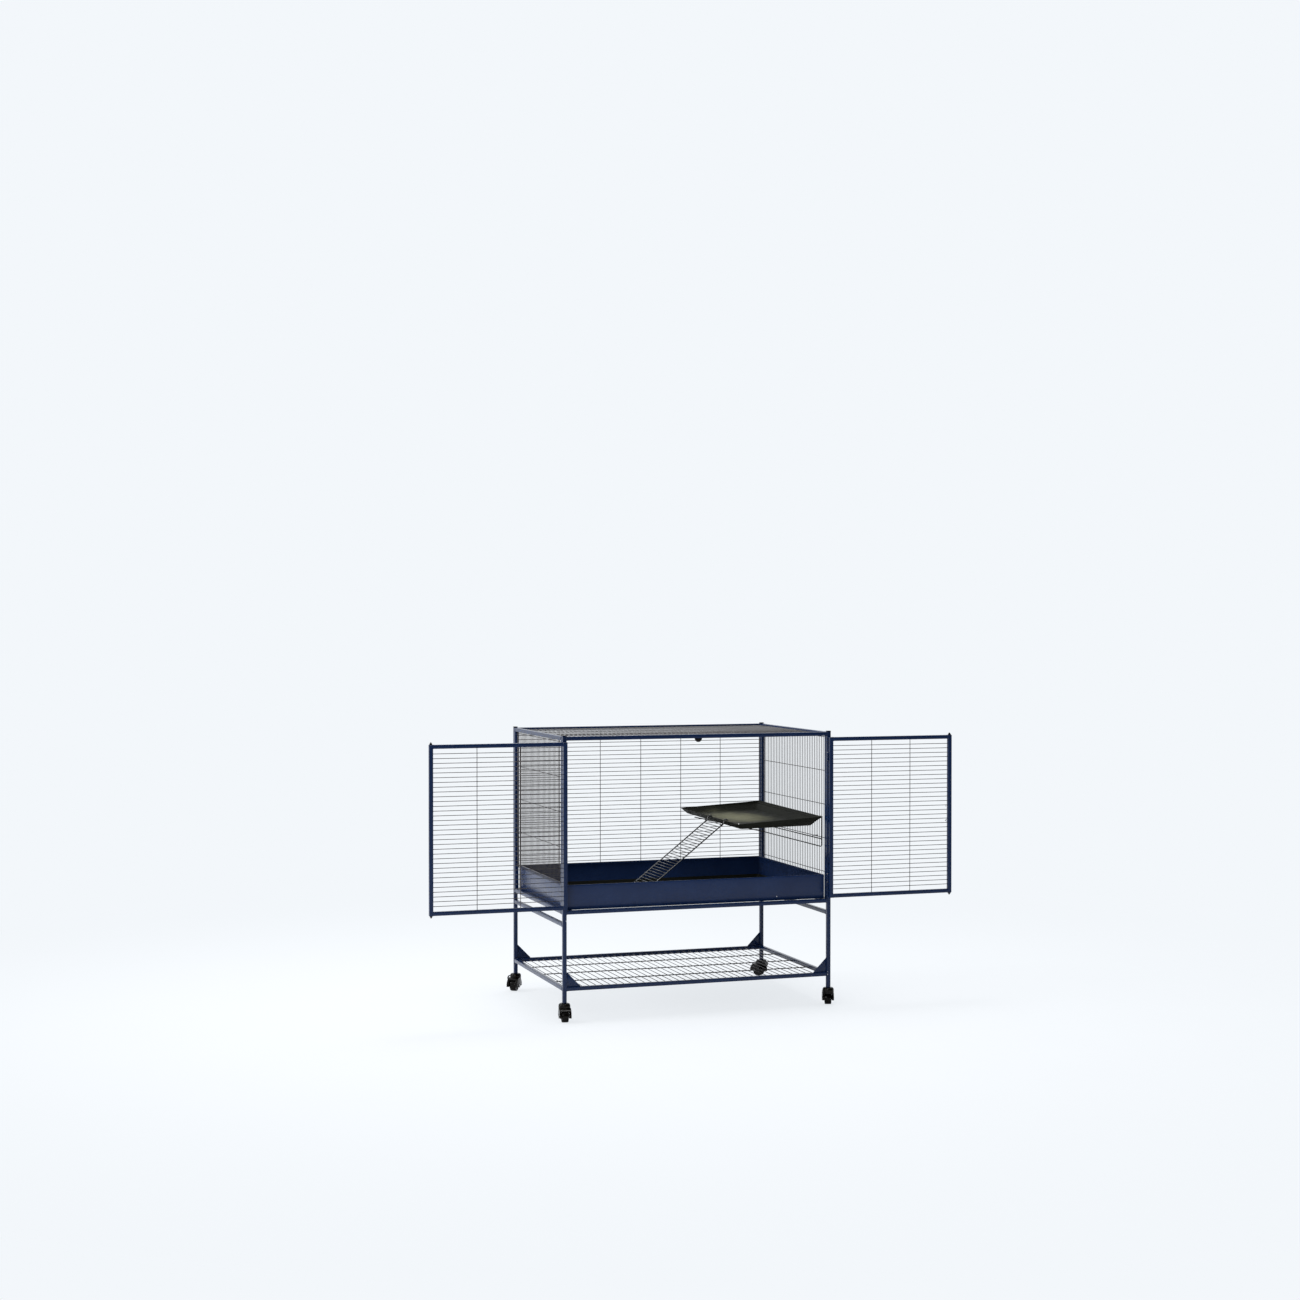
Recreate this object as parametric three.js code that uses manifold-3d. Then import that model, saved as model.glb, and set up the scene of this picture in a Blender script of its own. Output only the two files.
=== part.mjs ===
// A two-door ferret cage on a wheeled stand: a welded square-tube frame filled with wire grilles,
// a sliding litter tray, a plastic half shelf with its wire bracket and ladder, and four casters.
// Millimetres, +Z up, front facing -Y, modelled with both doors folded back flat to the sides.
import * as THREE from 'three';
import { mergeVertices } from 'three/addons/utils/BufferGeometryUtils.js';
import Module from 'manifold-3d';

const wasm = await Module();
wasm.setup();

// ---- Driving dimensions ----

const clearance = 0.3; // air left between pieces that touch

// Frame
const cageWidth = 952;
const cageDepth = 630;
const tube = 13; // square tube, outside
const tubeWall = 1.2;
const ringBoreStep = 0.2; // rings' level bores inside their upright bores
const legFoot = 61; // underside of the legs
const baseRailTop = 113;
const standRailTop = 323;
const floorRailTop = 364;
const topRailTop = 934;
const postRise = 1; // posts above the top rails
const gussetLeg = 48;
const gussetThickness = 2;

// Post caps
const capWidth = 14.5;
const capThickness = 3;
const capPlug = 8;

const bendThinning = 0.02; // from one run of a bent wire to the next

// Wire grilles
const wire = 2.2;
const barPitch = 15.2; // side and top wires
const backBarPitch = 15.13;
const doorBarPitch = 15.28;
const baseBarPitch = 24.2;
const barEdge = 7; // least gap from a frame tube to the first wire
const doorBarEdge = 12;
const backBarDrop = 15; // top bar below the top rail
const backUprights = 7;
const backUprightInset = 2.3;
const sideCrossDrop = 5.4; // top cross wire below the top rail
const sideCrossPitch = 115.6;
const wallAboveTray = 5; // lowest level bar above the tray
const sideWireDrop = 5; // side wires' feet below the tray's rim
const topCrossWires = 2;
const baseCrossWires = 3;
const baseCrossWire = 3.4; // the base shelf's three carrying wires

// Doors and hinges
const doorSideGap = 2;
const doorMeetingGap = 2;
const doorTopGap = 4.2;
const doorBottomGap = 5.2;
const doorUprights = 2;
const doorOpenAngle = 180;
const hingeHeight = 27;
const hingeInset = 53;
const hingePlate = 1.9;
const hingePlateWidth = 9;
const hingePinRadius = 1.2;
const hingePinHead = 1.2;
const knuckleBore = 1.5;
const knuckleRadius = 2.2;
const knuckleSides = 8;

// Door bolts
const boltTravel = 8;
const nibReach = 8;
const nibTip = 2;
const plungerLength = 30;
const boltRodRadius = 2;
const handleWireRadius = 1.3;
const handleReach = 26;
const handleHeight = 11;
const handleOffset = 17; // door's middle height to the nearer leg of each handle
const handleSlot = 4.4;

// Litter tray, its liner and its runners
const trayHeight = 81.7;
const trayWall = 1;
const traySideGap = 5;
const trayEndGap = 1;
const linerWall = 1.5;
const linerHeight = 14.4;
const linerGap = 0.5;
const runnerShelf = 22;
const runnerWall = 1.5;

// Door stop
const stopRadius = 13;
const stopThickness = 2;
const stopDrop = 14;

// Half shelf, in its own level frame: x and y from the shelf's middle, z from its low rim
const shelfEdgeGap = 5; // raised right wall to the side panel
const shelfRimHeight = 630.5;
const shelfLeftReach = 156;
const shelfLedge = 134; // foot of the raised right wall
const shelfRightReach = 156;
const shelfHalfDepth = 290;
const shelfFlare = 13;
const shelfPanDepth = 17;
const shelfFloorRight = 123;
const shelfRise = 13; // raised right wall above the low rim
const shelfRiseStart = 123;
const shelfRiseEnd = 143;
const shelfWall = 2;
const shelfLeanSide = 1.03; // degrees, down to the left
const shelfLeanFront = 0.74; // degrees, down to the front

// Shelf bracket, one bent wire
const bracketRadius = 1.6;
const bracketInset = 11; // bracket wires from the side panel's inner face
const bracketUpper = 567;
const bracketLower = 541;
const bracketFront = 292.6; // front upright, from the middle of the depth
const bracketBack = 240;
const bracketHookTop = 644.9;
const bracketHookReach = 9;
const bracketHookGap = 4; // gap between side wires that each hook passes, counted from the end
const strutEnd = [166, 196, 606.9];
const bracketSides = 6;

// Ladder
const ladderMiddle = -91; // from the cage's middle depth
const ladderWidth = 158;
const ladderRailRadius = 2.25;
const ladderRungRadius = 1.25;
const ladderRungPitch = 11.7;
const ladderAngle = 38;
const ladderHookRadius = 5.5;
const ladderHookEnd = 52; // degrees above level where the hooks stop
const ladderNeck = 9;
const ladderSeatDrop = 2.5; // rail line below the shelf's rim
const ladderSeatInset = 1.2; // hooks' centre in from the rim's edge

// Casters
const wheelHeight = 42;
const wheelWidth = 22;
const wheelSides = 24;
const wheelBore = 3.3;
const axleRadius = 3;
const axleHeadRadius = 4.5;
const axleHead = 1.4;
const casterTrail = 14;
const hoodWidth = 39;
const hoodTopRadius = 16;
const hoodShoulder = 56.5;
const hoodFoot = 17;
const hoodRadius = 26;
const hoodWell = 23.5;
const hoodArch = 40;
const hoodLip = 4;
const hoodWheelGap = 1;
const domeSides = 20;
const stemRadius = 4;
const stemLength = 24;
const brakeReach = 10;
const brakeTop = 52.5;
const brakeBottom = 32;
const brakeWidth = 10;
const brakeThickness = 3;
const casterTurns = { front_left: -10, front_right: 160, back_left: -35, back_right: 201 };
const brakeSides = { back_left: -1, back_right: -1 }; // which side of its hood each lever hangs on

// ---- Sizes worked out from the driving dimensions ----

const halfWidth = cageWidth / 2;
const halfDepth = cageDepth / 2;
const tubeBore = tube - 2 * tubeWall;
const innerHalfWidth = halfWidth - tube;
const innerHalfDepth = halfDepth - tube;
const postTop = topRailTop + postRise;
const postX = halfWidth - tube / 2;
const postY = halfDepth - tube / 2;
const shelfMiddle = innerHalfWidth - shelfEdgeGap - shelfRightReach; // from the cage's middle
const trayBottom = floorRailTop + clearance;
const trayTop = trayBottom + trayHeight;
const trayHalfWidth = innerHalfWidth - traySideGap;
const trayHalfDepth = innerHalfDepth - trayEndGap;
const linerBottom = trayBottom + trayWall + clearance;
const doorBottom = floorRailTop + doorBottomGap;
const doorTop = topRailTop - tube - doorTopGap;
const doorWidth = innerHalfWidth - doorSideGap - doorMeetingGap / 2;
const doorMiddle = (doorBottom + doorTop) / 2;
const pinFront = knuckleRadius + clearance; // hinge pin in front of the posts
const wheelRadius = wheelHeight / 2 / Math.cos(Math.PI / wheelSides);

// ---- Finishes ----

function finish(color, roughness, metalness) {
  return new THREE.MeshStandardMaterial({ color, roughness, metalness });
}

const finishes = {
  navyPaint: finish(0x1b2650, 0.35, 0.1),
  trayPaint: finish(0x18244a, 0.4, 0.1),
  bareWire: finish(0x6e6969, 0.45, 0.7),
  blackPlastic: finish(0x161512, 0.45, 0),
  shelfPlastic: finish(0x262822, 0.4, 0),
  blackWire: finish(0x121110, 0.4, 0.2),
  steel: finish(0x9a9a9a, 0.3, 0.9),
};

// ---- Solids ----

function toSolid(geometry) {
  const bare = geometry.index ? geometry.clone() : geometry;
  bare.deleteAttribute('normal');
  bare.deleteAttribute('uv');
  const merged = mergeVertices(bare);
  return new wasm.Manifold(new wasm.Mesh({
    numProp: 3,
    vertProperties: Float32Array.from(merged.attributes.position.array),
    triVerts: Uint32Array.from(merged.index.array),
  }));
}

function toGeometry(solid) {
  const { vertProperties, triVerts } = solid.getMesh();
  const geometry = new THREE.BufferGeometry();
  geometry.setAttribute('position', new THREE.BufferAttribute(vertProperties, 3));
  geometry.setIndex(new THREE.BufferAttribute(triVerts, 1));
  return geometry;
}

function joined(solids) {
  if (solids.length === 1) {
    return solids[0];
  }
  const half = Math.ceil(solids.length / 2);
  return joined(solids.slice(0, half)).add(joined(solids.slice(half)));
}

function piece(name, solid, material) {
  const mesh = new THREE.Mesh(toGeometry(solid), material);
  mesh.name = name;
  return mesh;
}

// A box whose corners are exactly the two given points, in either order
function block(a, b) {
  const geometry = new THREE.BoxGeometry(1, 1, 1);
  const corners = geometry.attributes.position;
  for (let i = 0; i < corners.count; i += 1) {
    for (let axis = 0; axis < 3; axis += 1) {
      const low = Math.min(a[axis], b[axis]);
      const high = Math.max(a[axis], b[axis]);
      corners.setComponent(i, axis, corners.getComponent(i, axis) < 0 ? low : high);
    }
  }
  return toSolid(geometry);
}

// A round bar between two points, run on past both by reach
function rod(from, to, radius, sides, reach = 0) {
  const start = new THREE.Vector3(...from);
  const way = new THREE.Vector3(...to).sub(start);
  const geometry = new THREE.CylinderGeometry(radius, radius, way.length() + 2 * reach, sides);
  const turn = new THREE.Quaternion().setFromUnitVectors(new THREE.Vector3(0, 1, 0), way.clone().normalize());
  geometry.applyQuaternion(turn);
  geometry.translate(...start.addScaledVector(way, 0.5).toArray());
  return toSolid(geometry);
}

// One wire bent through a list of points, each run a hair thinner so that no two faces lie in one plane
function bentWire(points, radius, sides) {
  const runs = points.slice(1).map((point, i) => (
    rod(points[i], point, radius - i * bendThinning, sides, radius * 0.8)
  ));
  return joined(runs);
}

// An outline in x and y, extruded along +z
function slab(outline, depth) {
  const shape = new THREE.Shape(outline.map(([x, y]) => new THREE.Vector2(x, y)));
  return new THREE.ExtrudeGeometry(shape, { depth, bevelEnabled: false });
}

// An outline in x and z, extruded from the back plane y = back towards the front
function uprightSlab(outline, back, thickness) {
  const geometry = slab(outline, thickness);
  geometry.rotateX(Math.PI / 2);
  geometry.translate(0, back, 0);
  return toSolid(geometry);
}

// A solid with a rectangle at the bottom and another at the top, each [x0, x1, y0, y1, z]
function taper(bottom, top) {
  const geometry = new THREE.BoxGeometry(1, 1, 1);
  const corners = geometry.attributes.position;
  for (let i = 0; i < corners.count; i += 1) {
    const [x0, x1, y0, y1, z] = corners.getZ(i) < 0 ? bottom : top;
    const x = corners.getX(i) < 0 ? x0 : x1;
    const y = corners.getY(i) < 0 ? y0 : y1;
    corners.setXYZ(i, x, y, z);
  }
  return toSolid(geometry);
}

// Square tube along one axis, open at both ends
function tubeAlong(axis, centre, from, to) {
  const low = [...centre];
  const high = [...centre];
  const boreLow = [...centre];
  const boreHigh = [...centre];
  for (let i = 0; i < 3; i += 1) {
    low[i] = i === axis ? from : centre[i] - tube / 2;
    high[i] = i === axis ? to : centre[i] + tube / 2;
    boreLow[i] = i === axis ? from - 1 : centre[i] - tubeBore / 2;
    boreHigh[i] = i === axis ? to + 1 : centre[i] + tubeBore / 2;
  }
  return block(low, high).subtract(block(boreLow, boreHigh));
}

// Places at one pitch, centred between two walls, no nearer to them than edge
function spread(low, high, pitch, edge) {
  const count = Math.floor((high - low - 2 * edge) / pitch) + 1;
  const first = (low + high - (count - 1) * pitch) / 2;
  return Array.from({ length: count }, (unused, i) => first + i * pitch);
}

// Places at one pitch, counted down from high and stopping above low
function stepDown(high, low, pitch) {
  const count = Math.floor((high - low) / pitch) + 1;
  return Array.from({ length: count }, (unused, i) => high - i * pitch);
}

// Places that split a span into equal parts, without its ends
function divide(low, high, count) {
  return Array.from({ length: count }, (unused, i) => low + ((i + 1) * (high - low)) / (count + 1));
}

// Places from low to high, ends included
function evenly(low, high, count) {
  return Array.from({ length: count }, (unused, i) => low + (i * (high - low)) / (count - 1));
}

// ---- Frame ----

function post(name, side, end) {
  let solid = tubeAlong(2, [0, 0, 0], legFoot, postTop);
  if (end < 0) {
    solid = joined([solid, ...hingeHeights().map((z) => postHinge(side, z))]);
  }
  const mesh = piece(name, solid, finishes.navyPaint);
  mesh.position.set(side * postX, end * postY, 0);
  return mesh;
}

function hingeHeights() {
  return [doorBottom + hingeInset, doorTop - hingeInset - hingeHeight];
}

// The hinge axis seen from a front post's middle
function hingeAxisFromPost(side) {
  return [(-side * tube) / 2, -tube / 2 - pinFront];
}

function knuckle(x, y, low, high) {
  return rod([x, y, low], [x, y, high], knuckleRadius, knuckleSides);
}

function knuckleHole(x, y, low, high) {
  return rod([x, y, low], [x, y, high], knuckleBore, knuckleSides, 1);
}

// Post half of a hinge: a plate on the post's front face and the outer two knuckles
function postHinge(side, z) {
  const [x, y] = hingeAxisFromPost(side);
  const third = hingeHeight / 3;
  const plateStart = x + side * (knuckleRadius + clearance);
  const plate = block(
    [plateStart, -tube / 2 + tubeWall / 2, z],
    [plateStart + side * hingePlateWidth, -tube / 2 - hingePlate, z + hingeHeight],
  );
  const parts = [plate];
  for (const low of [z, z + 2 * third]) {
    const arm = block([plateStart + side, -tube / 2 - hingePlate, low], [x, y + knuckleRadius * 0.8, low + third]);
    parts.push(arm, knuckle(x, y, low, low + third));
  }
  return joined(parts).subtract(knuckleHole(x, y, z, z + hingeHeight));
}

function postCap(name, side, end) {
  const flange = block([-capWidth / 2, -capWidth / 2, postTop], [capWidth / 2, capWidth / 2, postTop + capThickness]);
  const plugHalf = tubeBore / 2 - clearance;
  const plug = block([-plugHalf, -plugHalf, postTop - capPlug], [plugHalf, plugHalf, postTop + capThickness / 2]);
  const mesh = piece(name, flange.add(plug).translate([0, 0, clearance]), finishes.blackPlastic);
  mesh.position.set(side * postX, end * postY, 0);
  return mesh;
}

// A rail between the two posts of the front or the back frame
function crossRail(top) {
  const reach = innerHalfWidth - clearance;
  return tubeAlong(0, [0, 0, top - tube / 2], -reach, reach);
}

// Holes in a front rail for the nibs of both doors
function nibHoles(low, high) {
  return [-1, 1].map((side) => {
    const x = (side * doorMeetingGap) / 2 + (side * tube) / 2;
    return block([x - tubeBore / 2, -tubeBore / 2, low], [x + tubeBore / 2, tubeBore / 2, high]);
  });
}

function railPiece(name, solid, end) {
  const mesh = piece(name, solid, finishes.navyPaint);
  mesh.position.set(0, end * postY, 0);
  return mesh;
}

function frontTopRail() {
  const underside = topRailTop - tube;
  const holes = nibHoles(underside - 1, underside + tube / 2);
  return railPiece('front_top_rail', crossRail(topRailTop).subtract(joined(holes)), -1);
}

function frontFloorRail() {
  const holes = nibHoles(floorRailTop - tube / 2, floorRailTop + 1);
  return railPiece('front_floor_rail', crossRail(floorRailTop).subtract(joined(holes)), -1);
}

function baseRail(name, end) {
  const foot = baseRailTop - tubeWall / 2;
  const reach = innerHalfWidth - clearance;
  const gussets = [-1, 1].map((side) => uprightSlab([
    [side * reach, foot],
    [side * (reach - gussetLeg), foot],
    [side * reach, baseRailTop + gussetLeg],
  ], gussetThickness / 2, gussetThickness));
  return railPiece(name, joined([crossRail(baseRailTop), ...gussets]), end);
}

function sideRail(name, side, top) {
  const reach = innerHalfDepth - clearance;
  const mesh = piece(name, tubeAlong(1, [0, 0, top - tube / 2], -reach, reach), finishes.navyPaint);
  mesh.position.set(side * postX, 0, 0);
  return mesh;
}

// Four tubes welded into a ring, open at the ends of its uprights
function tubeRing(across, plane, reach, bottom, top) {
  const corner = (u, inset, z) => {
    const point = [plane - inset, plane - inset, z];
    point[across] = u;
    return point;
  };
  const half = tube / 2;
  const outer = block(corner(-reach, half, bottom), corner(reach, -half, top));
  const window = block(corner(tube - reach, half + 1, bottom + tube), corner(reach - tube, -half - 1, top - tube));
  const bore = tubeBore / 2;
  const middle = reach - half;
  const uprightBores = [-middle, middle].map((u) => (
    block(corner(u - bore, bore, bottom - 1), corner(u + bore, -bore, top + 1))
  ));
  const railBore = bore - ringBoreStep;
  const railBores = [bottom + half, top - half].map((z) => (
    block(corner(-middle, railBore, z - railBore), corner(middle, -railBore, z + railBore))
  ));
  return outer.subtract(joined([window, ...uprightBores, ...railBores]));
}

function sidePanelFrame(name, side) {
  const solid = tubeRing(1, 0, innerHalfDepth - clearance, floorRailTop - tube, topRailTop);
  const mesh = piece(name, solid, finishes.navyPaint);
  mesh.position.set(side * postX, 0, 0);
  return mesh;
}

// ---- Grilles ----

// Wires along one axis at the places of another, with cross wires against their faces
function grille(along, bars, barSpan, crossAxis, crossBars, crossSpan, barSide, crossWire = wire) {
  const depthAxis = 3 - along - crossAxis;
  const make = (runAxis, placeAxis, place, span, end) => {
    const a = [0, 0, 0];
    const b = [0, 0, 0];
    a[runAxis] = span[0];
    b[runAxis] = span[1];
    a[placeAxis] = place - Math.abs(end) / 2;
    b[placeAxis] = place + Math.abs(end) / 2;
    b[depthAxis] = end;
    return block(a, b);
  };
  const rows = bars.map((place) => make(along, crossAxis, place, barSpan, barSide * wire));
  const crosses = crossBars.map((place) => make(crossAxis, along, place, crossSpan, -barSide * crossWire));
  return joined([joined(rows), joined(crosses)]);
}

function backGrille() {
  const underRail = topRailTop - tube;
  const bars = stepDown(underRail - backBarDrop, trayTop + wallAboveTray, backBarPitch);
  const uprightEnd = innerHalfWidth - backUprightInset;
  const uprights = evenly(-uprightEnd, uprightEnd, backUprights);
  const reach = innerHalfWidth - clearance;
  const solid = grille(0, bars, [-reach, reach], 2, uprights, [floorRailTop + clearance, underRail - clearance], -1);
  const mesh = piece('back_grille', solid, finishes.bareWire);
  mesh.position.set(0, postY, 0);
  return mesh;
}

const sideGrilleReach = innerHalfDepth - tube - 2 * clearance;
const sideWires = spread(-sideGrilleReach, sideGrilleReach, barPitch, barEdge);

function sideGrille(name, side) {
  const underRail = topRailTop - tube;
  const crosses = stepDown(underRail - sideCrossDrop, trayTop + wallAboveTray, sideCrossPitch);
  const foot = trayTop - sideWireDrop;
  const span = [-sideGrilleReach, sideGrilleReach];
  const solid = grille(2, sideWires, [foot, underRail - clearance], 1, crosses, span, -side);
  const mesh = piece(name, solid, finishes.bareWire);
  mesh.position.set(side * postX, 0, 0);
  return mesh;
}

// The flat grilles of the roof and of the base shelf
function flatGrille(name, pitch, crossWires, crossWire, height) {
  const reachX = innerHalfWidth - clearance;
  const reachY = innerHalfDepth - clearance;
  const wires = spread(-reachX, reachX, pitch, barEdge);
  const crosses = divide(-innerHalfDepth, innerHalfDepth, crossWires);
  const solid = grille(1, wires, [-reachY, reachY], 0, crosses, [-reachX, reachX], 1, crossWire);
  const mesh = piece(name, solid, finishes.bareWire);
  mesh.position.set(0, 0, height);
  return mesh;
}

// ---- Doors ----

// A closed door seen from its hinge axis: the leaf runs along +x times side, its face is at leafFront
const leafNear = doorSideGap;
const leafFar = doorSideGap + doorWidth;
const leafFront = pinFront;
const leafMiddleY = pinFront + tube / 2;

function doorFrame(name, side) {
  const ring = tubeRing(0, 0, doorWidth / 2, doorBottom, doorTop)
    .translate([side * (leafNear + doorWidth / 2), leafMiddleY, 0]);
  const freeStile = side * (leafFar - tube / 2);
  const slots = [1, -1].map((up) => {
    const near = doorMiddle + up * (handleOffset - boltTravel - 2 * handleWireRadius);
    const far = doorMiddle + up * (handleOffset + handleHeight + 2 * handleWireRadius);
    return block(
      [freeStile - handleSlot / 2, leafFront - 1, near],
      [freeStile + handleSlot / 2, leafFront + tube / 2, far],
    );
  });
  const hinges = hingeHeights().map((z) => doorHinge(side, z));
  return piece(name, joined([ring.subtract(joined(slots)), ...hinges]), finishes.navyPaint);
}

// Door half of a hinge: a plate on the leaf's outer face and the middle knuckle
function doorHinge(side, z) {
  const third = hingeHeight / 3;
  const plateStart = knuckleRadius + clearance;
  const plateBack = leafFront + tubeWall / 2;
  const plateFront = leafFront - hingePlate;
  const plate = block([side * plateStart, plateFront, z], [side * (plateStart + hingePlateWidth), plateBack, z + hingeHeight]);
  const low = z + third + clearance;
  const high = z + 2 * third - clearance;
  const arm = block([0, plateFront, low], [side * (plateStart + 1), leafFront - clearance, high]);
  const barrel = knuckle(0, 0, low, high);
  return joined([plate, arm, barrel]).subtract(knuckleHole(0, 0, low, high));
}

function doorGrille(name, side) {
  const reach = doorWidth / 2 - tube - clearance;
  const inside = [doorBottom + tube + clearance, doorTop - tube - clearance];
  const bars = spread(doorBottom + tube, doorTop - tube, doorBarPitch, doorBarEdge);
  const uprights = divide(-reach, reach, doorUprights);
  const solid = grille(0, bars, [-reach, reach], 2, uprights, inside, -1);
  const mesh = piece(name, solid, finishes.bareWire);
  mesh.position.set(side * (leafNear + doorWidth / 2), leafMiddleY, 0);
  return mesh;
}

// A sprung bolt in the free stile: plunger with a pointed nib, rod and finger wire
function doorBolt(name, side, up) {
  const x = side * (leafFar - tube / 2);
  const end = up > 0 ? doorTop : doorBottom;
  const half = tubeBore / 2 - clearance;
  const square = (h, z) => [x - h, x + h, leafMiddleY - h, leafMiddleY + h, z];
  const nibStart = end + up;
  const nib = up > 0
    ? taper(square(half, nibStart), square(nibTip / 2, end + nibReach))
    : taper(square(nibTip / 2, end - nibReach), square(half, nibStart));
  const plungerFoot = end - up * plungerLength;
  const plunger = block([x - half, leafMiddleY - half, plungerFoot], [x + half, leafMiddleY + half, nibStart]);
  const nearLeg = doorMiddle + up * handleOffset;
  const farLeg = nearLeg + up * handleHeight;
  const shaft = rod([x, leafMiddleY, nearLeg], [x, leafMiddleY, plungerFoot], boltRodRadius, bracketSides, 1);
  const handle = bentWire([
    [x, leafMiddleY, farLeg],
    [x, leafFront - handleReach, farLeg],
    [x, leafFront - 2 * handleWireRadius - 1, nearLeg],
  ], handleWireRadius, bracketSides);
  const solid = joined([plunger, nib, shaft, handle]);
  return piece(name, solid, finishes.blackPlastic);
}

function door(label, side) {
  const group = new THREE.Group();
  group.add(
    doorFrame(`${label}_door_frame`, side),
    doorGrille(`${label}_door_grille`, side),
    doorBolt(`${label}_upper_bolt`, side, 1),
    doorBolt(`${label}_lower_bolt`, side, -1),
  );
  group.position.set(-side * innerHalfWidth, -halfDepth - pinFront, 0);
  group.rotation.z = THREE.MathUtils.degToRad(doorOpenAngle);
  return group;
}

function hingePin(name, side, z) {
  const profile = [
    [0, -hingePinHead],
    [hingePinRadius, -hingePinHead],
    [hingePinRadius, hingeHeight + clearance],
    [knuckleRadius, hingeHeight + clearance],
    [knuckleRadius, hingeHeight + clearance + hingePinHead],
    [0, hingeHeight + clearance + hingePinHead],
  ];
  const geometry = new THREE.LatheGeometry(profile.map(([r, h]) => new THREE.Vector2(r, h)), knuckleSides);
  geometry.rotateX(Math.PI / 2);
  const mesh = piece(name, toSolid(geometry), finishes.steel);
  mesh.position.set(side * innerHalfWidth, -halfDepth - pinFront, z);
  return mesh;
}

function doorStop() {
  const arcSteps = 8;
  const centre = stopRadius - stopDrop;
  const arc = Array.from({ length: arcSteps + 1 }, (unused, i) => {
    const angle = Math.PI + (i * Math.PI) / arcSteps;
    return [stopRadius * Math.cos(angle), centre + stopRadius * Math.sin(angle)];
  });
  const top = tube / 2 - clearance;
  const outline = [[stopRadius, top], [-stopRadius, top], ...arc];
  const mesh = piece('door_stop', uprightSlab(outline, stopThickness, stopThickness), finishes.blackPlastic);
  mesh.position.set(0, clearance - innerHalfDepth, topRailTop - tube);
  return mesh;
}

// ---- Litter tray ----

function openBox(halfX, halfY, bottom, top, wall) {
  const outside = block([-halfX, -halfY, bottom], [halfX, halfY, top]);
  const inside = block([wall - halfX, wall - halfY, bottom + wall], [halfX - wall, halfY - wall, top + 1]);
  return outside.subtract(inside);
}

function litterTray() {
  return piece('litter_tray', openBox(trayHalfWidth, trayHalfDepth, trayBottom, trayTop, trayWall), finishes.trayPaint);
}

function trayLiner() {
  const inset = trayWall + linerGap;
  const solid = openBox(trayHalfWidth - inset, trayHalfDepth - inset, linerBottom, linerBottom + linerHeight, linerWall);
  return piece('tray_liner', solid, finishes.shelfPlastic);
}

// An angle strip along the side panel that carries the tray's edge
function trayRunner(name, side) {
  const reach = innerHalfDepth - clearance;
  const outer = innerHalfWidth - clearance;
  const top = trayBottom - clearance;
  const flat = block([side * (outer - runnerShelf), -reach, top - runnerWall], [side * outer, reach, top]);
  const web = block([side * (outer - runnerWall), -reach, floorRailTop - tube], [side * outer, reach, top]);
  return piece(name, flat.add(web), finishes.navyPaint);
}

// ---- Half shelf, bracket and ladder ----

function halfShelf() {
  const floor = (z) => [shelfFlare - shelfLeftReach, shelfFloorRight, shelfFlare - shelfHalfDepth, shelfHalfDepth - shelfFlare, z];
  const rim = (z) => [-shelfLeftReach, shelfLedge, -shelfHalfDepth, shelfHalfDepth, z];
  const pan = taper(floor(-shelfPanDepth), rim(0));
  const hollow = taper(floor(shelfWall - shelfPanDepth), rim(shelfWall));
  const ledgeEnd = shelfRightReach - shelfFlare;
  const ledge = block([shelfLedge - shelfWall, -shelfHalfDepth, -shelfWall], [ledgeEnd + 1, shelfHalfDepth, 0]);
  const wall = uprightSlab([
    [ledgeEnd - shelfWall, -shelfWall],
    [ledgeEnd + 1, -shelfWall],
    [shelfRightReach, shelfRise - shelfWall],
    [shelfRightReach, shelfRise],
    [shelfRightReach - shelfWall, shelfRise],
  ], shelfHalfDepth, 2 * shelfHalfDepth);
  const cheeks = [shelfHalfDepth, shelfWall - shelfHalfDepth].map((back) => uprightSlab([
    [shelfRiseStart, -shelfWall],
    [ledgeEnd + 1, -shelfWall],
    [shelfRightReach, shelfRise - shelfWall],
    [shelfRightReach, shelfRise],
    [shelfRiseEnd, shelfRise],
    [shelfRiseStart, 0],
  ], back, shelfWall));
  const solid = joined([pan.subtract(hollow), ledge, wall, ...cheeks]);
  return piece('half_shelf', solid, finishes.shelfPlastic);
}

function shelfLeanGroup() {
  const group = new THREE.Group();
  group.add(halfShelf());
  group.position.set(shelfMiddle, 0, shelfRimHeight);
  group.rotation.set(THREE.MathUtils.degToRad(shelfLeanFront), -THREE.MathUtils.degToRad(shelfLeanSide), 0);
  return group;
}

// Height of the shelf's low rim above the floor at a place in the cage
function shelfRimAt(x, y) {
  const riseX = (x - shelfMiddle) * Math.tan(THREE.MathUtils.degToRad(shelfLeanSide));
  const riseY = y * Math.tan(THREE.MathUtils.degToRad(shelfLeanFront));
  return shelfRimHeight + riseX + riseY;
}

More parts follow.
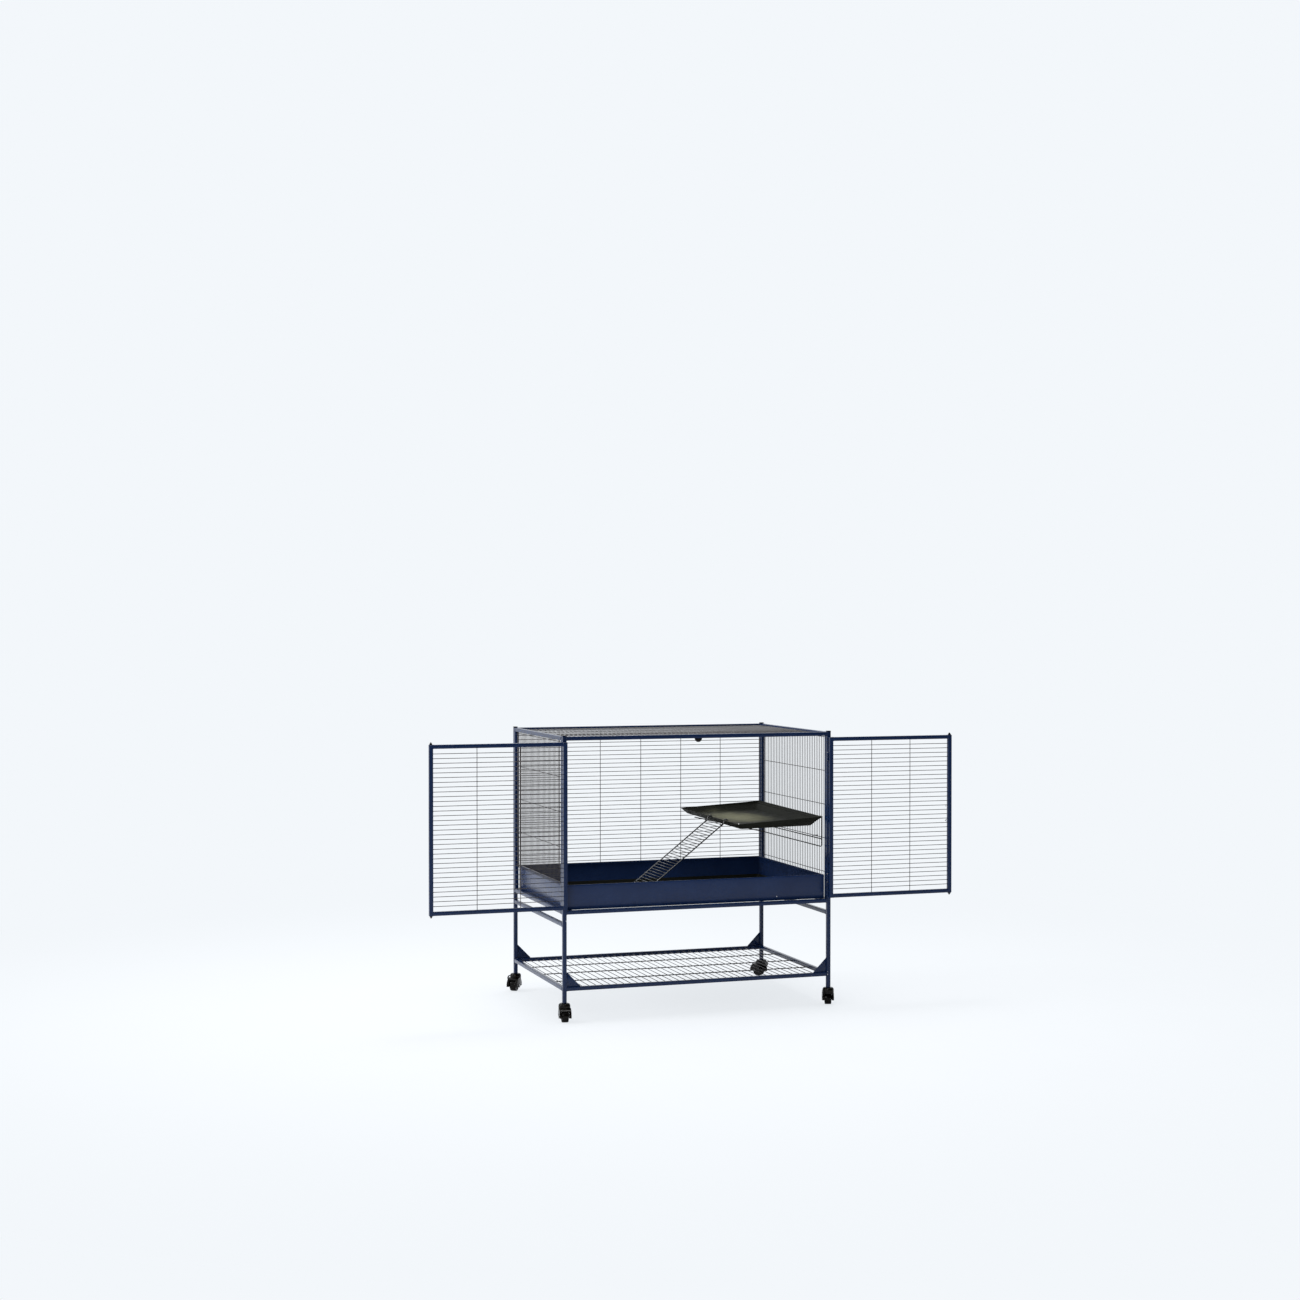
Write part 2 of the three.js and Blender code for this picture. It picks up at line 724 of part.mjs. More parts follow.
function shelfBracket() {
  const x = innerHalfWidth - bracketInset;
  const crossWire = stepDown(topRailTop - tube - sideCrossDrop, trayTop + wallAboveTray, sideCrossPitch)
    .reduce((best, z) => (Math.abs(z - bracketUpper) < Math.abs(best - bracketUpper) ? z : best));
  const hookHeight = crossWire + wire / 2 + clearance + bracketRadius;
  const shape = (points, order) => (
    bentWire(points, bracketRadius - 4 * order * bendThinning, bracketSides)
  );
  const upright = shape([
    [x, -bracketFront, bracketLower],
    [x, -bracketFront, bracketHookTop],
    [x, bracketHookReach - bracketFront, bracketHookTop],
  ], 0);
  const upper = shape([
    [x, -bracketFront, bracketUpper],
    [x, bracketBack, bracketUpper],
    [x, bracketBack, bracketLower],
  ], 1);
  const lower = shape([
    [x, -bracketFront, bracketLower],
    [x, bracketBack, bracketLower],
    strutEnd,
  ], 2);
  const hookPlace = (sideWires[bracketHookGap] + sideWires[bracketHookGap + 1]) / 2;
  const hooks = [hookPlace, -hookPlace].map((y) => shape([
    [x, y, bracketUpper],
    [x, y, hookHeight],
    [postX + wire + bracketRadius, y, hookHeight],
  ], 3));
  return piece('shelf_bracket', joined([upright, upper, lower, ...hooks]), finishes.blackWire);
}

// The ladder seen from the point on the shelf's rim that its hooks turn about
function ladder() {
  const pivotX = shelfMiddle - shelfLeftReach + ladderSeatInset;
  const pivotZ = shelfRimAt(pivotX, ladderMiddle);
  const slope = Math.tan(THREE.MathUtils.degToRad(ladderAngle));
  const footLift = clearance + 1.3 * ladderRailRadius;
  const footZ = linerBottom + linerWall + footLift - pivotZ;
  const footX = (footZ + ladderSeatDrop) / slope;
  const neckZ = footZ + (-ladderNeck - footX) * slope;
  const arcSteps = 5;
  const hook = Array.from({ length: arcSteps + 1 }, (unused, i) => {
    const angle = THREE.MathUtils.degToRad(180 + (i * (ladderHookEnd - 180)) / arcSteps);
    return [ladderHookRadius * Math.cos(angle), ladderHookRadius * Math.sin(angle)];
  });
  const path = [[footX, footZ], [-ladderNeck, neckZ], ...hook];
  const rails = [-1, 1].map((side) => (
    bentWire(path.map(([x, z]) => [x, (side * ladderWidth) / 2, z]), ladderRailRadius, bracketSides)
  ));
  const railLength = Math.hypot(-ladderNeck - footX, neckZ - footZ);
  const rungs = stepDown(railLength - ladderRungPitch / 2, 0, ladderRungPitch).map((along) => {
    const x = footX + (along * (-ladderNeck - footX)) / railLength;
    const z = footZ + (along * (neckZ - footZ)) / railLength;
    return rod([x, -ladderWidth / 2, z], [x, ladderWidth / 2, z], ladderRungRadius, 4);
  });
  const mesh = piece('ladder', joined([...rails, ...rungs]), finishes.blackWire);
  mesh.position.set(pivotX, ladderMiddle, pivotZ);
  return mesh;
}

// ---- Casters ----

function casterHood(name) {
  const axleHeight = wheelHeight / 2;
  const halfHood = hoodWidth / 2;
  const domeTop = legFoot - clearance;
  const domeFoot = hoodArch - hoodLip;
  const profile = [[0, domeFoot], [halfHood, domeFoot], [halfHood, hoodShoulder], [hoodTopRadius, domeTop], [0, domeTop]];
  const dome = new THREE.LatheGeometry(profile.map(([r, h]) => new THREE.Vector2(r, h)), domeSides);
  dome.rotateX(Math.PI / 2);
  const drum = rod([-halfHood, -casterTrail, axleHeight], [halfHood, -casterTrail, axleHeight], hoodRadius, 16);
  const wellHalf = wheelWidth / 2 + hoodWheelGap;
  const far = casterTrail + 2 * hoodRadius;
  const well = rod([-wellHalf, -casterTrail, axleHeight], [wellHalf, -casterTrail, axleHeight], hoodWell, 16);
  const mouth = block([-wellHalf, -far, 0], [wellHalf, far, hoodArch]);
  const below = block([-hoodWidth, -far, axleHeight - 2 * hoodRadius], [hoodWidth, far, hoodFoot]);
  const bore = rod([-halfHood, -casterTrail, axleHeight], [halfHood, -casterTrail, axleHeight], wheelBore, 12, 1);
  const stem = rod([0, 0, domeTop - 1], [0, 0, domeTop + stemLength], stemRadius, 8);
  const hood = toSolid(dome).add(drum).subtract(joined([well, mouth, below, bore]));
  return piece(name, hood.add(stem), finishes.blackPlastic);
}

function casterWheel(name) {
  const half = wheelWidth / 2;
  const crown = 1.5;
  const profile = [
    [wheelBore, -half],
    [wheelRadius - crown, -half],
    [wheelRadius, crown - half],
    [wheelRadius, half - crown],
    [wheelRadius - crown, half],
    [wheelBore, half],
    [wheelBore, -half],
  ];
  const geometry = new THREE.LatheGeometry(profile.map(([r, h]) => new THREE.Vector2(r, h)), wheelSides);
  geometry.rotateY(Math.PI / wheelSides);
  geometry.rotateZ(Math.PI / 2);
  const mesh = piece(name, toSolid(geometry), finishes.blackPlastic);
  mesh.position.set(0, -casterTrail, wheelHeight / 2);
  return mesh;
}

function casterAxle(name) {
  const reach = hoodWidth / 2 + clearance;
  const shaft = rod([-reach - axleHead, 0, 0], [reach, 0, 0], axleRadius, 12);
  const head = rod([-reach - axleHead, 0, 0], [-reach, 0, 0], axleHeadRadius, 12);
  const mesh = piece(name, shaft.add(head), finishes.steel);
  mesh.position.set(0, -casterTrail, wheelHeight / 2);
  return mesh;
}

// A C-shaped lever beside the hood, hung from its top
function brakeLever(name, side) {
  const inner = hoodWidth / 2 + clearance;
  const outer = inner + brakeReach;
  const t = brakeThickness;
  const outline = [
    [inner, brakeTop], [inner + 4, brakeTop], [outer, brakeTop - 6], [outer, brakeBottom + 6],
    [inner + 4, brakeBottom], [inner + 1, brakeBottom], [inner + 1, brakeBottom + t],
    [inner + 4, brakeBottom + t], [outer - t, brakeBottom + 7], [outer - t, brakeTop - 7],
    [inner + 4, brakeTop - t], [inner, brakeTop - t],
  ].map(([x, z]) => [side * x, z]);
  return piece(name, uprightSlab(outline, brakeWidth / 2, brakeWidth), finishes.blackPlastic);
}

function caster(label, side, end) {
  const group = new THREE.Group();
  group.add(
    casterHood(`${label}_caster_hood`),
    casterWheel(`${label}_caster_wheel`),
    casterAxle(`${label}_caster_axle`),
  );
  if (brakeSides[label]) {
    group.add(brakeLever(`${label}_brake_lever`, brakeSides[label]));
  }
  group.position.set(side * postX, end * postY, 0);
  group.rotation.z = THREE.MathUtils.degToRad(casterTurns[label]);
  return group;
}

// ---- Assembly ----

const cage = new THREE.Group();

for (const [endLabel, end] of [['front', -1], ['back', 1]]) {
  for (const [sideLabel, side] of [['left', -1], ['right', 1]]) {
    const label = `${endLabel}_${sideLabel}`;
    cage.add(post(`${label}_post`, side, end), postCap(`${label}_post_cap`, side, end), caster(label, side, end));
  }
  cage.add(baseRail(`${endLabel}_base_rail`, end));
}

cage.add(
  frontTopRail(),
  frontFloorRail(),
  railPiece('back_top_rail', crossRail(topRailTop), 1),
  railPiece('back_floor_rail', crossRail(floorRailTop), 1),
  backGrille(),
  flatGrille('top_grille', barPitch, topCrossWires, wire, topRailTop - tube / 2),
  flatGrille('base_grille', baseBarPitch, baseCrossWires, baseCrossWire, baseRailTop - tube / 2),
  doorStop(),
  litterTray(),
  trayLiner(),
  shelfLeanGroup(),
  shelfBracket(),
  ladder(),
);

for (const [label, side] of [['left', -1], ['right', 1]]) {
  cage.add(
    sidePanelFrame(`${label}_panel_frame`, side),
    sideGrille(`${label}_side_grille`, side),
    sideRail(`${label}_stand_rail`, side, standRailTop),
    sideRail(`${label}_base_side_rail`, side, baseRailTop),
    trayRunner(`${label}_tray_runner`, side),
    door(label, -side),
  );
  hingeHeights().forEach((z, i) => {
    cage.add(hingePin(`${label}_${['lower', 'upper'][i]}_hinge_pin`, side, z));
  });
}

// The frame of the part: origin on the floor, under the middle of everything
const reachBox = new THREE.Box3().setFromObject(cage, true);
const middle = reachBox.getCenter(new THREE.Vector3());
cage.position.set(-middle.x, -middle.y, -reachBox.min.z);

export default cage;
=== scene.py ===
# %% [markdown]
# # A ferret cage on a wheeled stand
#
# This lesson dresses a finished CAD model for a studio picture. The real cage is a welded frame of
# 13 mm square tube with wire panels, a sheet metal litter tray, a plastic half shelf and four casters.
# The CAD model knows every size and joint, but its wires are square and its edges are sharp.
# We load it as a fixed frame and make each piece again with the round wires and soft edges of the real one.

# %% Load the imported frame
import math

import bpy
import numpy as np
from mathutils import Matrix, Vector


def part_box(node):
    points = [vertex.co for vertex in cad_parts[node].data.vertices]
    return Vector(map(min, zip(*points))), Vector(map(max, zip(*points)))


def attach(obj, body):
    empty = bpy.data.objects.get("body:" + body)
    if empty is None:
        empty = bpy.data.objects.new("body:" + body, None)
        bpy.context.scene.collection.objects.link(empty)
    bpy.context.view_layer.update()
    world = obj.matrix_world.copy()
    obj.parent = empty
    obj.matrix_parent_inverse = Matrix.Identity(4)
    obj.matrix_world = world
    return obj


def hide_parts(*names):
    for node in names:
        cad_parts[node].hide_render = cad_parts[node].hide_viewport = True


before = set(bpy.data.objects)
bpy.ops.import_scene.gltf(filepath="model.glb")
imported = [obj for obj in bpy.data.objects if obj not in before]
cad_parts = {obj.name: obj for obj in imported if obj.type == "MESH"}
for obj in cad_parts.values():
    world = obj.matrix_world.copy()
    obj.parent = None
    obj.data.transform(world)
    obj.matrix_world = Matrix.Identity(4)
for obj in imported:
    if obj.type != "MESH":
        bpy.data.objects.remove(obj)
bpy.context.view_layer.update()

tray_low, tray_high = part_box("litter_tray")
mid_y = (tray_low.y + tray_high.y) * 500
print("middle of the cage in y, mm", round(mid_y, 3))

# %% [markdown]
# ## The camera first
#
# A camera that matches the photograph lets every later render be compared with it, so it comes first.
# Position, heading and lens were solved from the cage's own corners.

# %% Camera
photo_width = 1300
focal_length = 2092.55  # in the photo's pixels
camera_tilt = 0.799
camera_heading = 18.662
camera_data = bpy.data.cameras.new("photo_camera")
camera_data.sensor_width = 36
camera_data.lens = camera_data.sensor_width * focal_length / photo_width
camera_data.clip_end = 60
camera = bpy.data.objects.new("photo_camera", camera_data)
camera.location = (-2.39228, -6.87817 + mid_y / 1000, 1.31304)
camera.rotation_euler = (math.radians(90 - camera_tilt), 0, math.radians(-camera_heading))
bpy.context.scene.collection.objects.link(camera)
bpy.context.scene.camera = camera
print("lens", round(camera_data.lens, 2), "mm")

# %% [markdown]
# ## Shader maths as plain expressions
#
# A material varies over a surface through nodes. Wiring Math nodes by hand is slow to read, so a small class
# wraps a socket and lets Python's own operators add the nodes: `0.3 + 0.1 * grain` is two Math nodes.
# Every other node comes from one method that takes its type, its settings and its sockets.

# %% Sockets that can be added and multiplied
class Value:
    """A shader socket that Python's operators work on."""

    def __init__(self, finish, socket):
        self.finish = finish
        self.socket = socket

    def math(self, operation, first, second):
        return self.finish.node("ShaderNodeMath", {"operation": operation}, {0: first, 1: second})

    def __add__(self, other):
        return self.math("ADD", self, other)

    def __radd__(self, other):
        return self.math("ADD", other, self)

    def __sub__(self, other):
        return self.math("SUBTRACT", self, other)

    def __rsub__(self, other):
        return self.math("SUBTRACT", other, self)

    def __mul__(self, other):
        return self.math("MULTIPLY", self, other)

    def __rmul__(self, other):
        return self.math("MULTIPLY", other, self)


class Finish:
    """One material, or the world, built node by node."""

    def __init__(self, name, world=False):
        self.material = (bpy.data.worlds if world else bpy.data.materials).new(name)
        self.material.use_nodes = True
        self.tree = self.material.node_tree
        self.shader = self.tree.nodes["Background" if world else "Principled BSDF"]

    def feed(self, socket, value):
        if isinstance(value, Value):
            self.tree.links.new(value.socket, socket)
        else:
            socket.default_value = value

    def node(self, kind, settings=None, sockets=None, output=0):
        made = self.tree.nodes.new(kind)
        for key, value in (settings or {}).items():
            if key == "stops":
                for stop, (place, shade) in zip(made.color_ramp.elements, value):
                    stop.position = place
                    stop.color = (*[shade] * 3, 1)
            else:
                setattr(made, key, value)
        for key, value in (sockets or {}).items():
            self.feed(made.inputs[key], value)
        return Value(self, made.outputs[output])

    def mix(self, factor, first, second):
        return self.node("ShaderNodeMix", {"data_type": "RGBA"}, {0: factor, 6: first, 7: second}, 2)

    def place(self):
        return self.node("ShaderNodeTexCoord", output="Object")

    def noise(self, scale, detail=2, stretch=(1, 1, 1)):
        spot = self.node("ShaderNodeMapping", sockets={"Vector": self.place(), "Scale": stretch})
        return self.node("ShaderNodeTexNoise", sockets={"Vector": spot, "Scale": scale, "Detail": detail})

    def steps(self, value, low, high, start=0, end=1):
        limits = {"From Min": low, "From Max": high, "To Min": start, "To Max": end}
        settings = {"interpolation_type": "SMOOTHSTEP"}
        return self.node("ShaderNodeMapRange", settings, {"Value": value, **limits})

    def seen(self):
        return self.node("ShaderNodeLightPath", output="Is Camera Ray")

    def contrast(self, value, low, high):
        return self.node("ShaderNodeValToRGB", {"stops": [(low, 0), (high, 1)]}, {"Fac": value})

    def bump(self, height, depth, strength):
        sockets = {"Height": height, "Distance": depth, "Strength": strength}
        return self.node("ShaderNodeBump", sockets=sockets)

    def surface(self, **parts):
        for key, value in parts.items():
            self.feed(self.shader.inputs[key.replace("_", " ")], value)
        return self.material


def srgb(red, green, blue):
    """A colour as a paint programme shows it, 0 to 255, turned into Blender's linear values."""
    curve = lambda c: c / 12.92 if c <= 0.04045 else ((c + 0.055) / 1.055) ** 2.4
    return (*[curve(c / 255) for c in (red, green, blue)], 1)


print("shader helpers ready")

# %% [markdown]
# ## Navy powder coat
#
# The frame is powder coated: dry paint melted into an even skin. Up close it shows a faint orange peel,
# and over a long tube the colour drifts a little. Fine noise drives a very shallow bump for the peel,
# slow noise moves the colour and the gloss, and a sparse speckle stands for the dust that settles on it.

# %% Paint for tubes and for sheet
def powder_coat(name, dark, light, gloss, peel):
    paint = Finish(name)
    drift = paint.noise(9, 3)
    grain = paint.noise(850, 2)
    speckle = paint.contrast(paint.noise(420, 4), 0.62, 0.8)
    colour = paint.mix(drift, dark, light)
    dust_and_sheen = paint.mix(speckle * 0.08, colour, srgb(120, 128, 150))
    return paint.surface(
        Base_Color=dust_and_sheen,
        Roughness=gloss + 0.08 * drift + 0.05 * grain,
        Specular_IOR_Level=0.2,
        Normal=paint.bump(grain, peel, 0.35),
    )


navy_paint = powder_coat("navy powder coat", srgb(8, 24, 54), srgb(18, 38, 72), 0.13, 0.00012)
tray_paint = powder_coat("navy coat on sheet", srgb(11, 28, 61), srgb(22, 42, 78), 0.2, 0.00015)
print(navy_paint.name, "and", tray_paint.name)

# %% [markdown]
# ## Bare wire, black wire and pins
#
# The panels are plated steel wire that has dulled to a warm grey: part metal, part dull film, so Metallic
# is 0.6 while slow patches and fine streaks move the colour and the roughness. The bracket is the same wire
# under a black coat. The ladder's coat is the same but glossier, and it is painted lighter: a painted sheen
# that stands for the light running along its rungs and rails.

# %% Metals
def plated_wire():
    metal = Finish("plated wire")
    patch = metal.noise(60, 3)
    streak = metal.noise(700, 2, (1, 1, 0.25))
    return metal.surface(
        Base_Color=metal.mix(patch, srgb(44, 42, 43), srgb(90, 86, 86)),
        Metallic=0.6,
        Roughness=0.24 + 0.16 * patch + 0.08 * streak,
        Specular_IOR_Level=0.3,
        Normal=metal.bump(streak, 0.00005, 0.4),
    )


def even_metal(name, grain, colours, metallic, roughness, specular, depth):
    """One noise moves the colour, the roughness and the bump together."""
    metal = Finish(name)
    fleck = metal.noise(*grain)
    return metal.surface(
        Base_Color=metal.mix(fleck, *colours),
        Metallic=metallic,
        Roughness=roughness[0] + roughness[1] * fleck,
        Specular_IOR_Level=specular,
        Normal=metal.bump(fleck, depth, 0.4),
    )


bare_wire = plated_wire()
black = (srgb(8, 8, 8), srgb(22, 20, 18))
# Painted sheen: these lighter greys are the ladder's black coat painted lighter to stand for the light along
# its rungs and rails
sheen_lightened_black = (srgb(34, 34, 35), srgb(66, 66, 66))
bright = (srgb(168, 168, 170), srgb(208, 208, 210))
black_wire = even_metal("black coated wire", (500, 3), black, 0.0, (0.4, 0.15), 0.2, 0.0001)
sheen_painted_wire = even_metal("glossy black wire painted lighter for sheen", (500, 3), sheen_lightened_black, 0.6, (0.1, 0.15), 0.9, 0.0001)
bright_steel = even_metal("bright pin steel", (900, 2, (1, 1, 0.1)), bright, 1.0, (0.22, 0.16), 0.5, 0.00004)
print(bare_wire.name, black_wire.name, sheen_painted_wire.name, bright_steel.name)

# %% [markdown]
# ## Two plastics
#
# Casters, caps and bolts are moulded black plastic with a fine spark-eroded grain; sparse olive spots in it
# are a painted highlight that stands for the olive glints on the hoods and wheels. The half shelf and the
# liner are sheet plastic pressed over a form: smoother and slightly olive, with slow waves in it.
# The middle of the shelf's floor carries a painted sheen: an oval of the material fades to a pale khaki
# that stands for the gloss reflected off the floor, and blotches break up the oval's edge.

# %% Plastics
# Where the painted sheen on the shelf's floor lies: the middle and the stretch of its oval
sheen_oval_middle = (0.275, 0.06, 0.614)
sheen_oval_scale = (9, 4.8, 22)


def moulded_plastic():
    plastic = Finish("moulded black plastic")
    grain = plastic.noise(1400, 2)
    # Painted highlight: sparse olive spots in the black stand for the olive glints on the hoods and wheels
    painted_glint = plastic.contrast(plastic.noise(160, 5), 0.62, 0.8)
    return plastic.surface(
        Base_Color=plastic.mix(painted_glint * 0.4, srgb(6, 5, 4), srgb(92, 82, 52)),
        Roughness=0.16 + 0.24 * painted_glint,
        Specular_IOR_Level=0.13,
        Normal=plastic.bump(grain, 0.00012, 0.35),
    )


def pressed_plastic():
    plastic = Finish("pressed olive plastic")
    wave = plastic.noise(7, 2)
    grain = plastic.noise(900, 3)
    scratch = plastic.contrast(plastic.noise(260, 4, (1, 0.06, 1)), 0.64, 0.82)
    vector = "ShaderNodeVectorMath"
    offset = plastic.node(vector, {"operation": "SUBTRACT"}, {0: plastic.place(), 1: sheen_oval_middle})
    oval = plastic.node(vector, {"operation": "MULTIPLY"}, {0: offset, 1: sheen_oval_scale})
    away = plastic.node(vector, {"operation": "LENGTH"}, {0: oval}, "Value")
    # Painted sheen: a pale khaki oval on the shelf's floor, its edge broken by blotches, stands for the gloss
    # reflected off it
    blotch = plastic.noise(24, 5)
    dust_and_sheen = (1 - plastic.steps(away + 1.1 * (blotch - 0.5), 0.1, 1.2)) * (0.5 + 0.5 * blotch)
    skin = plastic.mix(wave, srgb(15, 16, 13), srgb(27, 28, 22))
    return plastic.surface(
        Base_Color=plastic.mix(dust_and_sheen, skin, srgb(108, 107, 84)),
        Roughness=0.62 + 0.1 * wave + 0.12 * scratch,
        Specular_IOR_Level=0.08,
        Normal=plastic.bump(wave * 6 + grain * 0.1, 0.0004, 0.5),
    )


finishes = {
    "navy_paint": navy_paint,
    "tray_paint": tray_paint,
    "bare_wire": bare_wire,
    "black_wire": black_wire,
    "pin_steel": bright_steel,
    "black_plastic": moulded_plastic(),
    "pan_plastic": pressed_plastic(),
}
print("slots:", ", ".join(finishes))

# %% [markdown]
# ## Shapes from rings
#
# Nearly everything here is a section carried along a line: a round wire, a square tube, a pressed pan.
# So one function joins a row of rings with faces, and everything else only has to make its rings.
# Sizes are in millimetres from the cage's middle, and turn into metres when the mesh is made.

# %% Rings, lofts and the stock that gathers them
class Stock:
    """Vertices and faces of one piece."""

    def __init__(self):
        self.vertices = []
        self.faces = []

    def add(self, vertices, faces):
        start = len(self.vertices)
        self.vertices.extend(tuple(float(c) for c in v) for v in vertices)
        self.faces.extend(tuple(start + i for i in face) for face in faces)
        return self

    def loft(self, rings, wrap=False):
        """Faces between neighbouring rings of equal length. wrap joins the last ring to the first."""
        count = len(rings[0])
        points = [p for ring in rings for p in ring]
        faces = []
        pairs = len(rings) if wrap else len(rings) - 1
        for r in range(pairs):
            a = r * count
            b = ((r + 1) % len(rings)) * count
            for i in range(count):
                j = (i + 1) % count
                faces.append((a + i, a + j, b + j, b + i))
        if not wrap:
            faces.append(tuple(reversed(range(count))))
            faces.append(tuple(range((len(rings) - 1) * count, len(rings) * count)))
        return self.add(points, faces)


def round_ring(half_u, half_v, radius, steps=4):
    """A rounded rectangle, counterclockwise, in two coordinates."""
    ring = []
    for corner, (su, sv) in enumerate(((1, 1), (-1, 1), (-1, -1), (1, -1))):
        for i in range(steps + 1):
            turn = math.radians(90 * corner + 90 * i / steps)
            u = su * (half_u - radius) + radius * math.cos(turn)
            v = sv * (half_v - radius) + radius * math.sin(turn)
            ring.append((u, v))
    return ring


def circle(radius, sides):
    angles = [2 * math.pi * i / sides for i in range(sides)]
    return [(radius * math.cos(angle), radius * math.sin(angle)) for angle in angles]


def on_axis(ring, axis, at, centre):
    """Lays a flat ring square to an axis, at a place along it."""
    u, v = [(1, 2), (2, 0), (0, 1)][axis]
    points = []
    for a, b in ring:
        point = list(centre)
        point[axis] = at
        point[u] += a
        point[v] += b
        points.append(point)
    return points


print("a rounded tube section has", len(round_ring(6, 6, 1.6)), "points")

# %% [markdown]
# ## Making a piece
#
# A mesh becomes part of the cage when it rides on a body of the CAD model, and then moves with the joints.
# Where it stands for CAD nodes, they are hidden. A small bevel rounds edges that were drawn sharp, because
# real edges always catch a line of light.

# %% From stock to a riding piece
def new_object(name, stock):
    """A mesh in metres, with the cage's middle depth where the frame has it."""
    mesh = bpy.data.meshes.new(name)
    points = np.array(stock.vertices, float)
    points[:, 1] += mid_y
    mesh.from_pydata([tuple(p) for p in points / 1000], [], stock.faces)
    made = bpy.data.objects.new(name, mesh)
    bpy.context.scene.collection.objects.link(made)
    return made


def make_piece(name, stock, body, slot, stands_for=(), bevel=0.0, smooth=35, finish=None):
    piece = new_object(name, stock)
    piece.data.validate()
    if bevel:
        soften(piece, bevel)
    piece.data.shade_smooth()
    piece.data.set_sharp_from_angle(angle=math.radians(smooth))
    piece.data.materials.clear()
    piece.data.materials.append(finish or finishes[slot])
    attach(piece, body)
    if stands_for:
        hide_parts(*stands_for)
    return piece


def soften(piece, width, segments=2):
    rounding = piece.modifiers.new("rounding", "BEVEL")
    rounding.width = width / 1000
    rounding.segments = segments
    rounding.limit_method = "ANGLE"
    rounding.angle_limit = math.radians(30)
    settle(piece)


def settle(piece):
    """Applies a piece's modifiers."""
    bpy.context.view_layer.update()
    ready = piece.evaluated_get(bpy.context.evaluated_depsgraph_get())
    mesh = bpy.data.meshes.new_from_object(ready)
    piece.modifiers.clear()
    piece.data = mesh


def cut(piece, stock, operation="DIFFERENCE"):
    """Cuts a hole of the stock's shape through a piece, or joins the stock to it with "UNION"."""
    cutter = new_object("cutter", stock)
    hole = piece.modifiers.new("hole", "BOOLEAN")
    hole.object = cutter
    hole.operation = operation
    hole.solver = "EXACT"
    settle(piece)
    bpy.data.objects.remove(cutter)
    piece.data.set_sharp_from_angle(angle=math.radians(35))


print("piece maker ready")

# %% [markdown]
# ## Square tube and round wire
#
# Square tube is drawn with its bore, because the posts and the doors' stiles are open at their ends.
# Its outer corners have the 1.6 mm radius that rolled tube has. A wire is a ring carried along a bent line:
# each bend is replaced by a short arc, and the ring is kept square to the line so it never pinches.

# %% Tubes, blocks and wires
tube = 13
tube_bore = 10.6
tube_corner = 1.6
bore_corner = 0.8
weld_reach = 1.4


def add_tube(stock, axis, centre, low, high):
    section = lambda half, radius, at: on_axis(round_ring(half, half, radius), axis, at, centre)
    outer = lambda inset, at: section(tube / 2 - inset, tube_corner, at)
    inner = lambda at: section(tube_bore / 2, bore_corner, at)
    stock.loft([
        inner(low), outer(0.3, low), outer(0, low + 0.3),
        outer(0, high - 0.3), outer(0.3, high), inner(high),
    ], wrap=True)
    return stock


def add_block(stock, a, b):
    low = [min(p, q) for p, q in zip(a, b)]
    high = [max(p, q) for p, q in zip(a, b)]
    ring = [(low[0], low[1]), (high[0], low[1]), (high[0], high[1]), (low[0], high[1])]
    return stock.loft([[(x, y, low[2]) for x, y in ring], [(x, y, high[2]) for x, y in ring]])


def rounded_path(points, bend, steps=4):
    """The points with each inner corner replaced by a short arc."""
    points = [np.array(p, float) for p in points]
    path = [points[0]]
    for before, corner, after in zip(points, points[1:], points[2:]):
        back = before - corner
        ahead = after - corner
        reach = min(bend, np.linalg.norm(back) * 0.45, np.linalg.norm(ahead) * 0.45)
        start = corner + back / np.linalg.norm(back) * reach
        end = corner + ahead / np.linalg.norm(ahead) * reach
        for i in range(steps + 1):
            t = i / steps
            path.append((1 - t) ** 2 * start + 2 * t * (1 - t) * corner + t ** 2 * end)
    path.append(points[-1])
    return path


def add_wire(stock, points, radius, sides=8, bend=0.0):
    """A round wire with softly rounded ends."""
    path = rounded_path(points, bend) if bend else [np.array(p, float) for p in points]
    heading = [path[min(i + 1, len(path) - 1)] - path[max(i - 1, 0)] for i in range(len(path))]
    heading = [h / np.linalg.norm(h) for h in heading]
    side = np.cross(heading[0], (0.31, 0.17, 0.93))
    side /= np.linalg.norm(side)
    rings = []
    for i, (point, along) in enumerate(zip(path, heading)):
        side = side - along * side.dot(along)
        side /= np.linalg.norm(side)
        up = np.cross(along, side)
        ring = lambda r, shift: [point + along * shift + a * side + b * up for a, b in circle(r, sides)]
        if i == 0:
            rings.extend([ring(radius * 0.55, 0), ring(radius, radius * 0.4)])
        elif i == len(path) - 1:
            rings.extend([ring(radius, -radius * 0.4), ring(radius * 0.55, 0)])
        else:
            rings.append(ring(radius, 0))
    return stock.loft(rings)


def add_weld(stock, axis, centre, at, bulge=0.8):
    """A bead round a square tube where it meets its neighbour."""
    rings = []
    for share, grow in ((-1, 0.02), (-0.5, bulge * 0.7), (0, bulge), (0.5, bulge * 0.7), (1, 0.02)):
        half = tube / 2 + grow
        rings.append(on_axis(round_ring(half, half, 1.8), axis, at + share * weld_reach, centre))
    return stock.loft(rings)


print("tube", tube, "mm outside,", tube_bore, "mm bore")

# %% [markdown]
# ## Posts, hinge halves and caps
#
# Four posts run from the casters to the caps. The two front ones carry half of each hinge: a small plate
# welded on the front face, with two round knuckles.

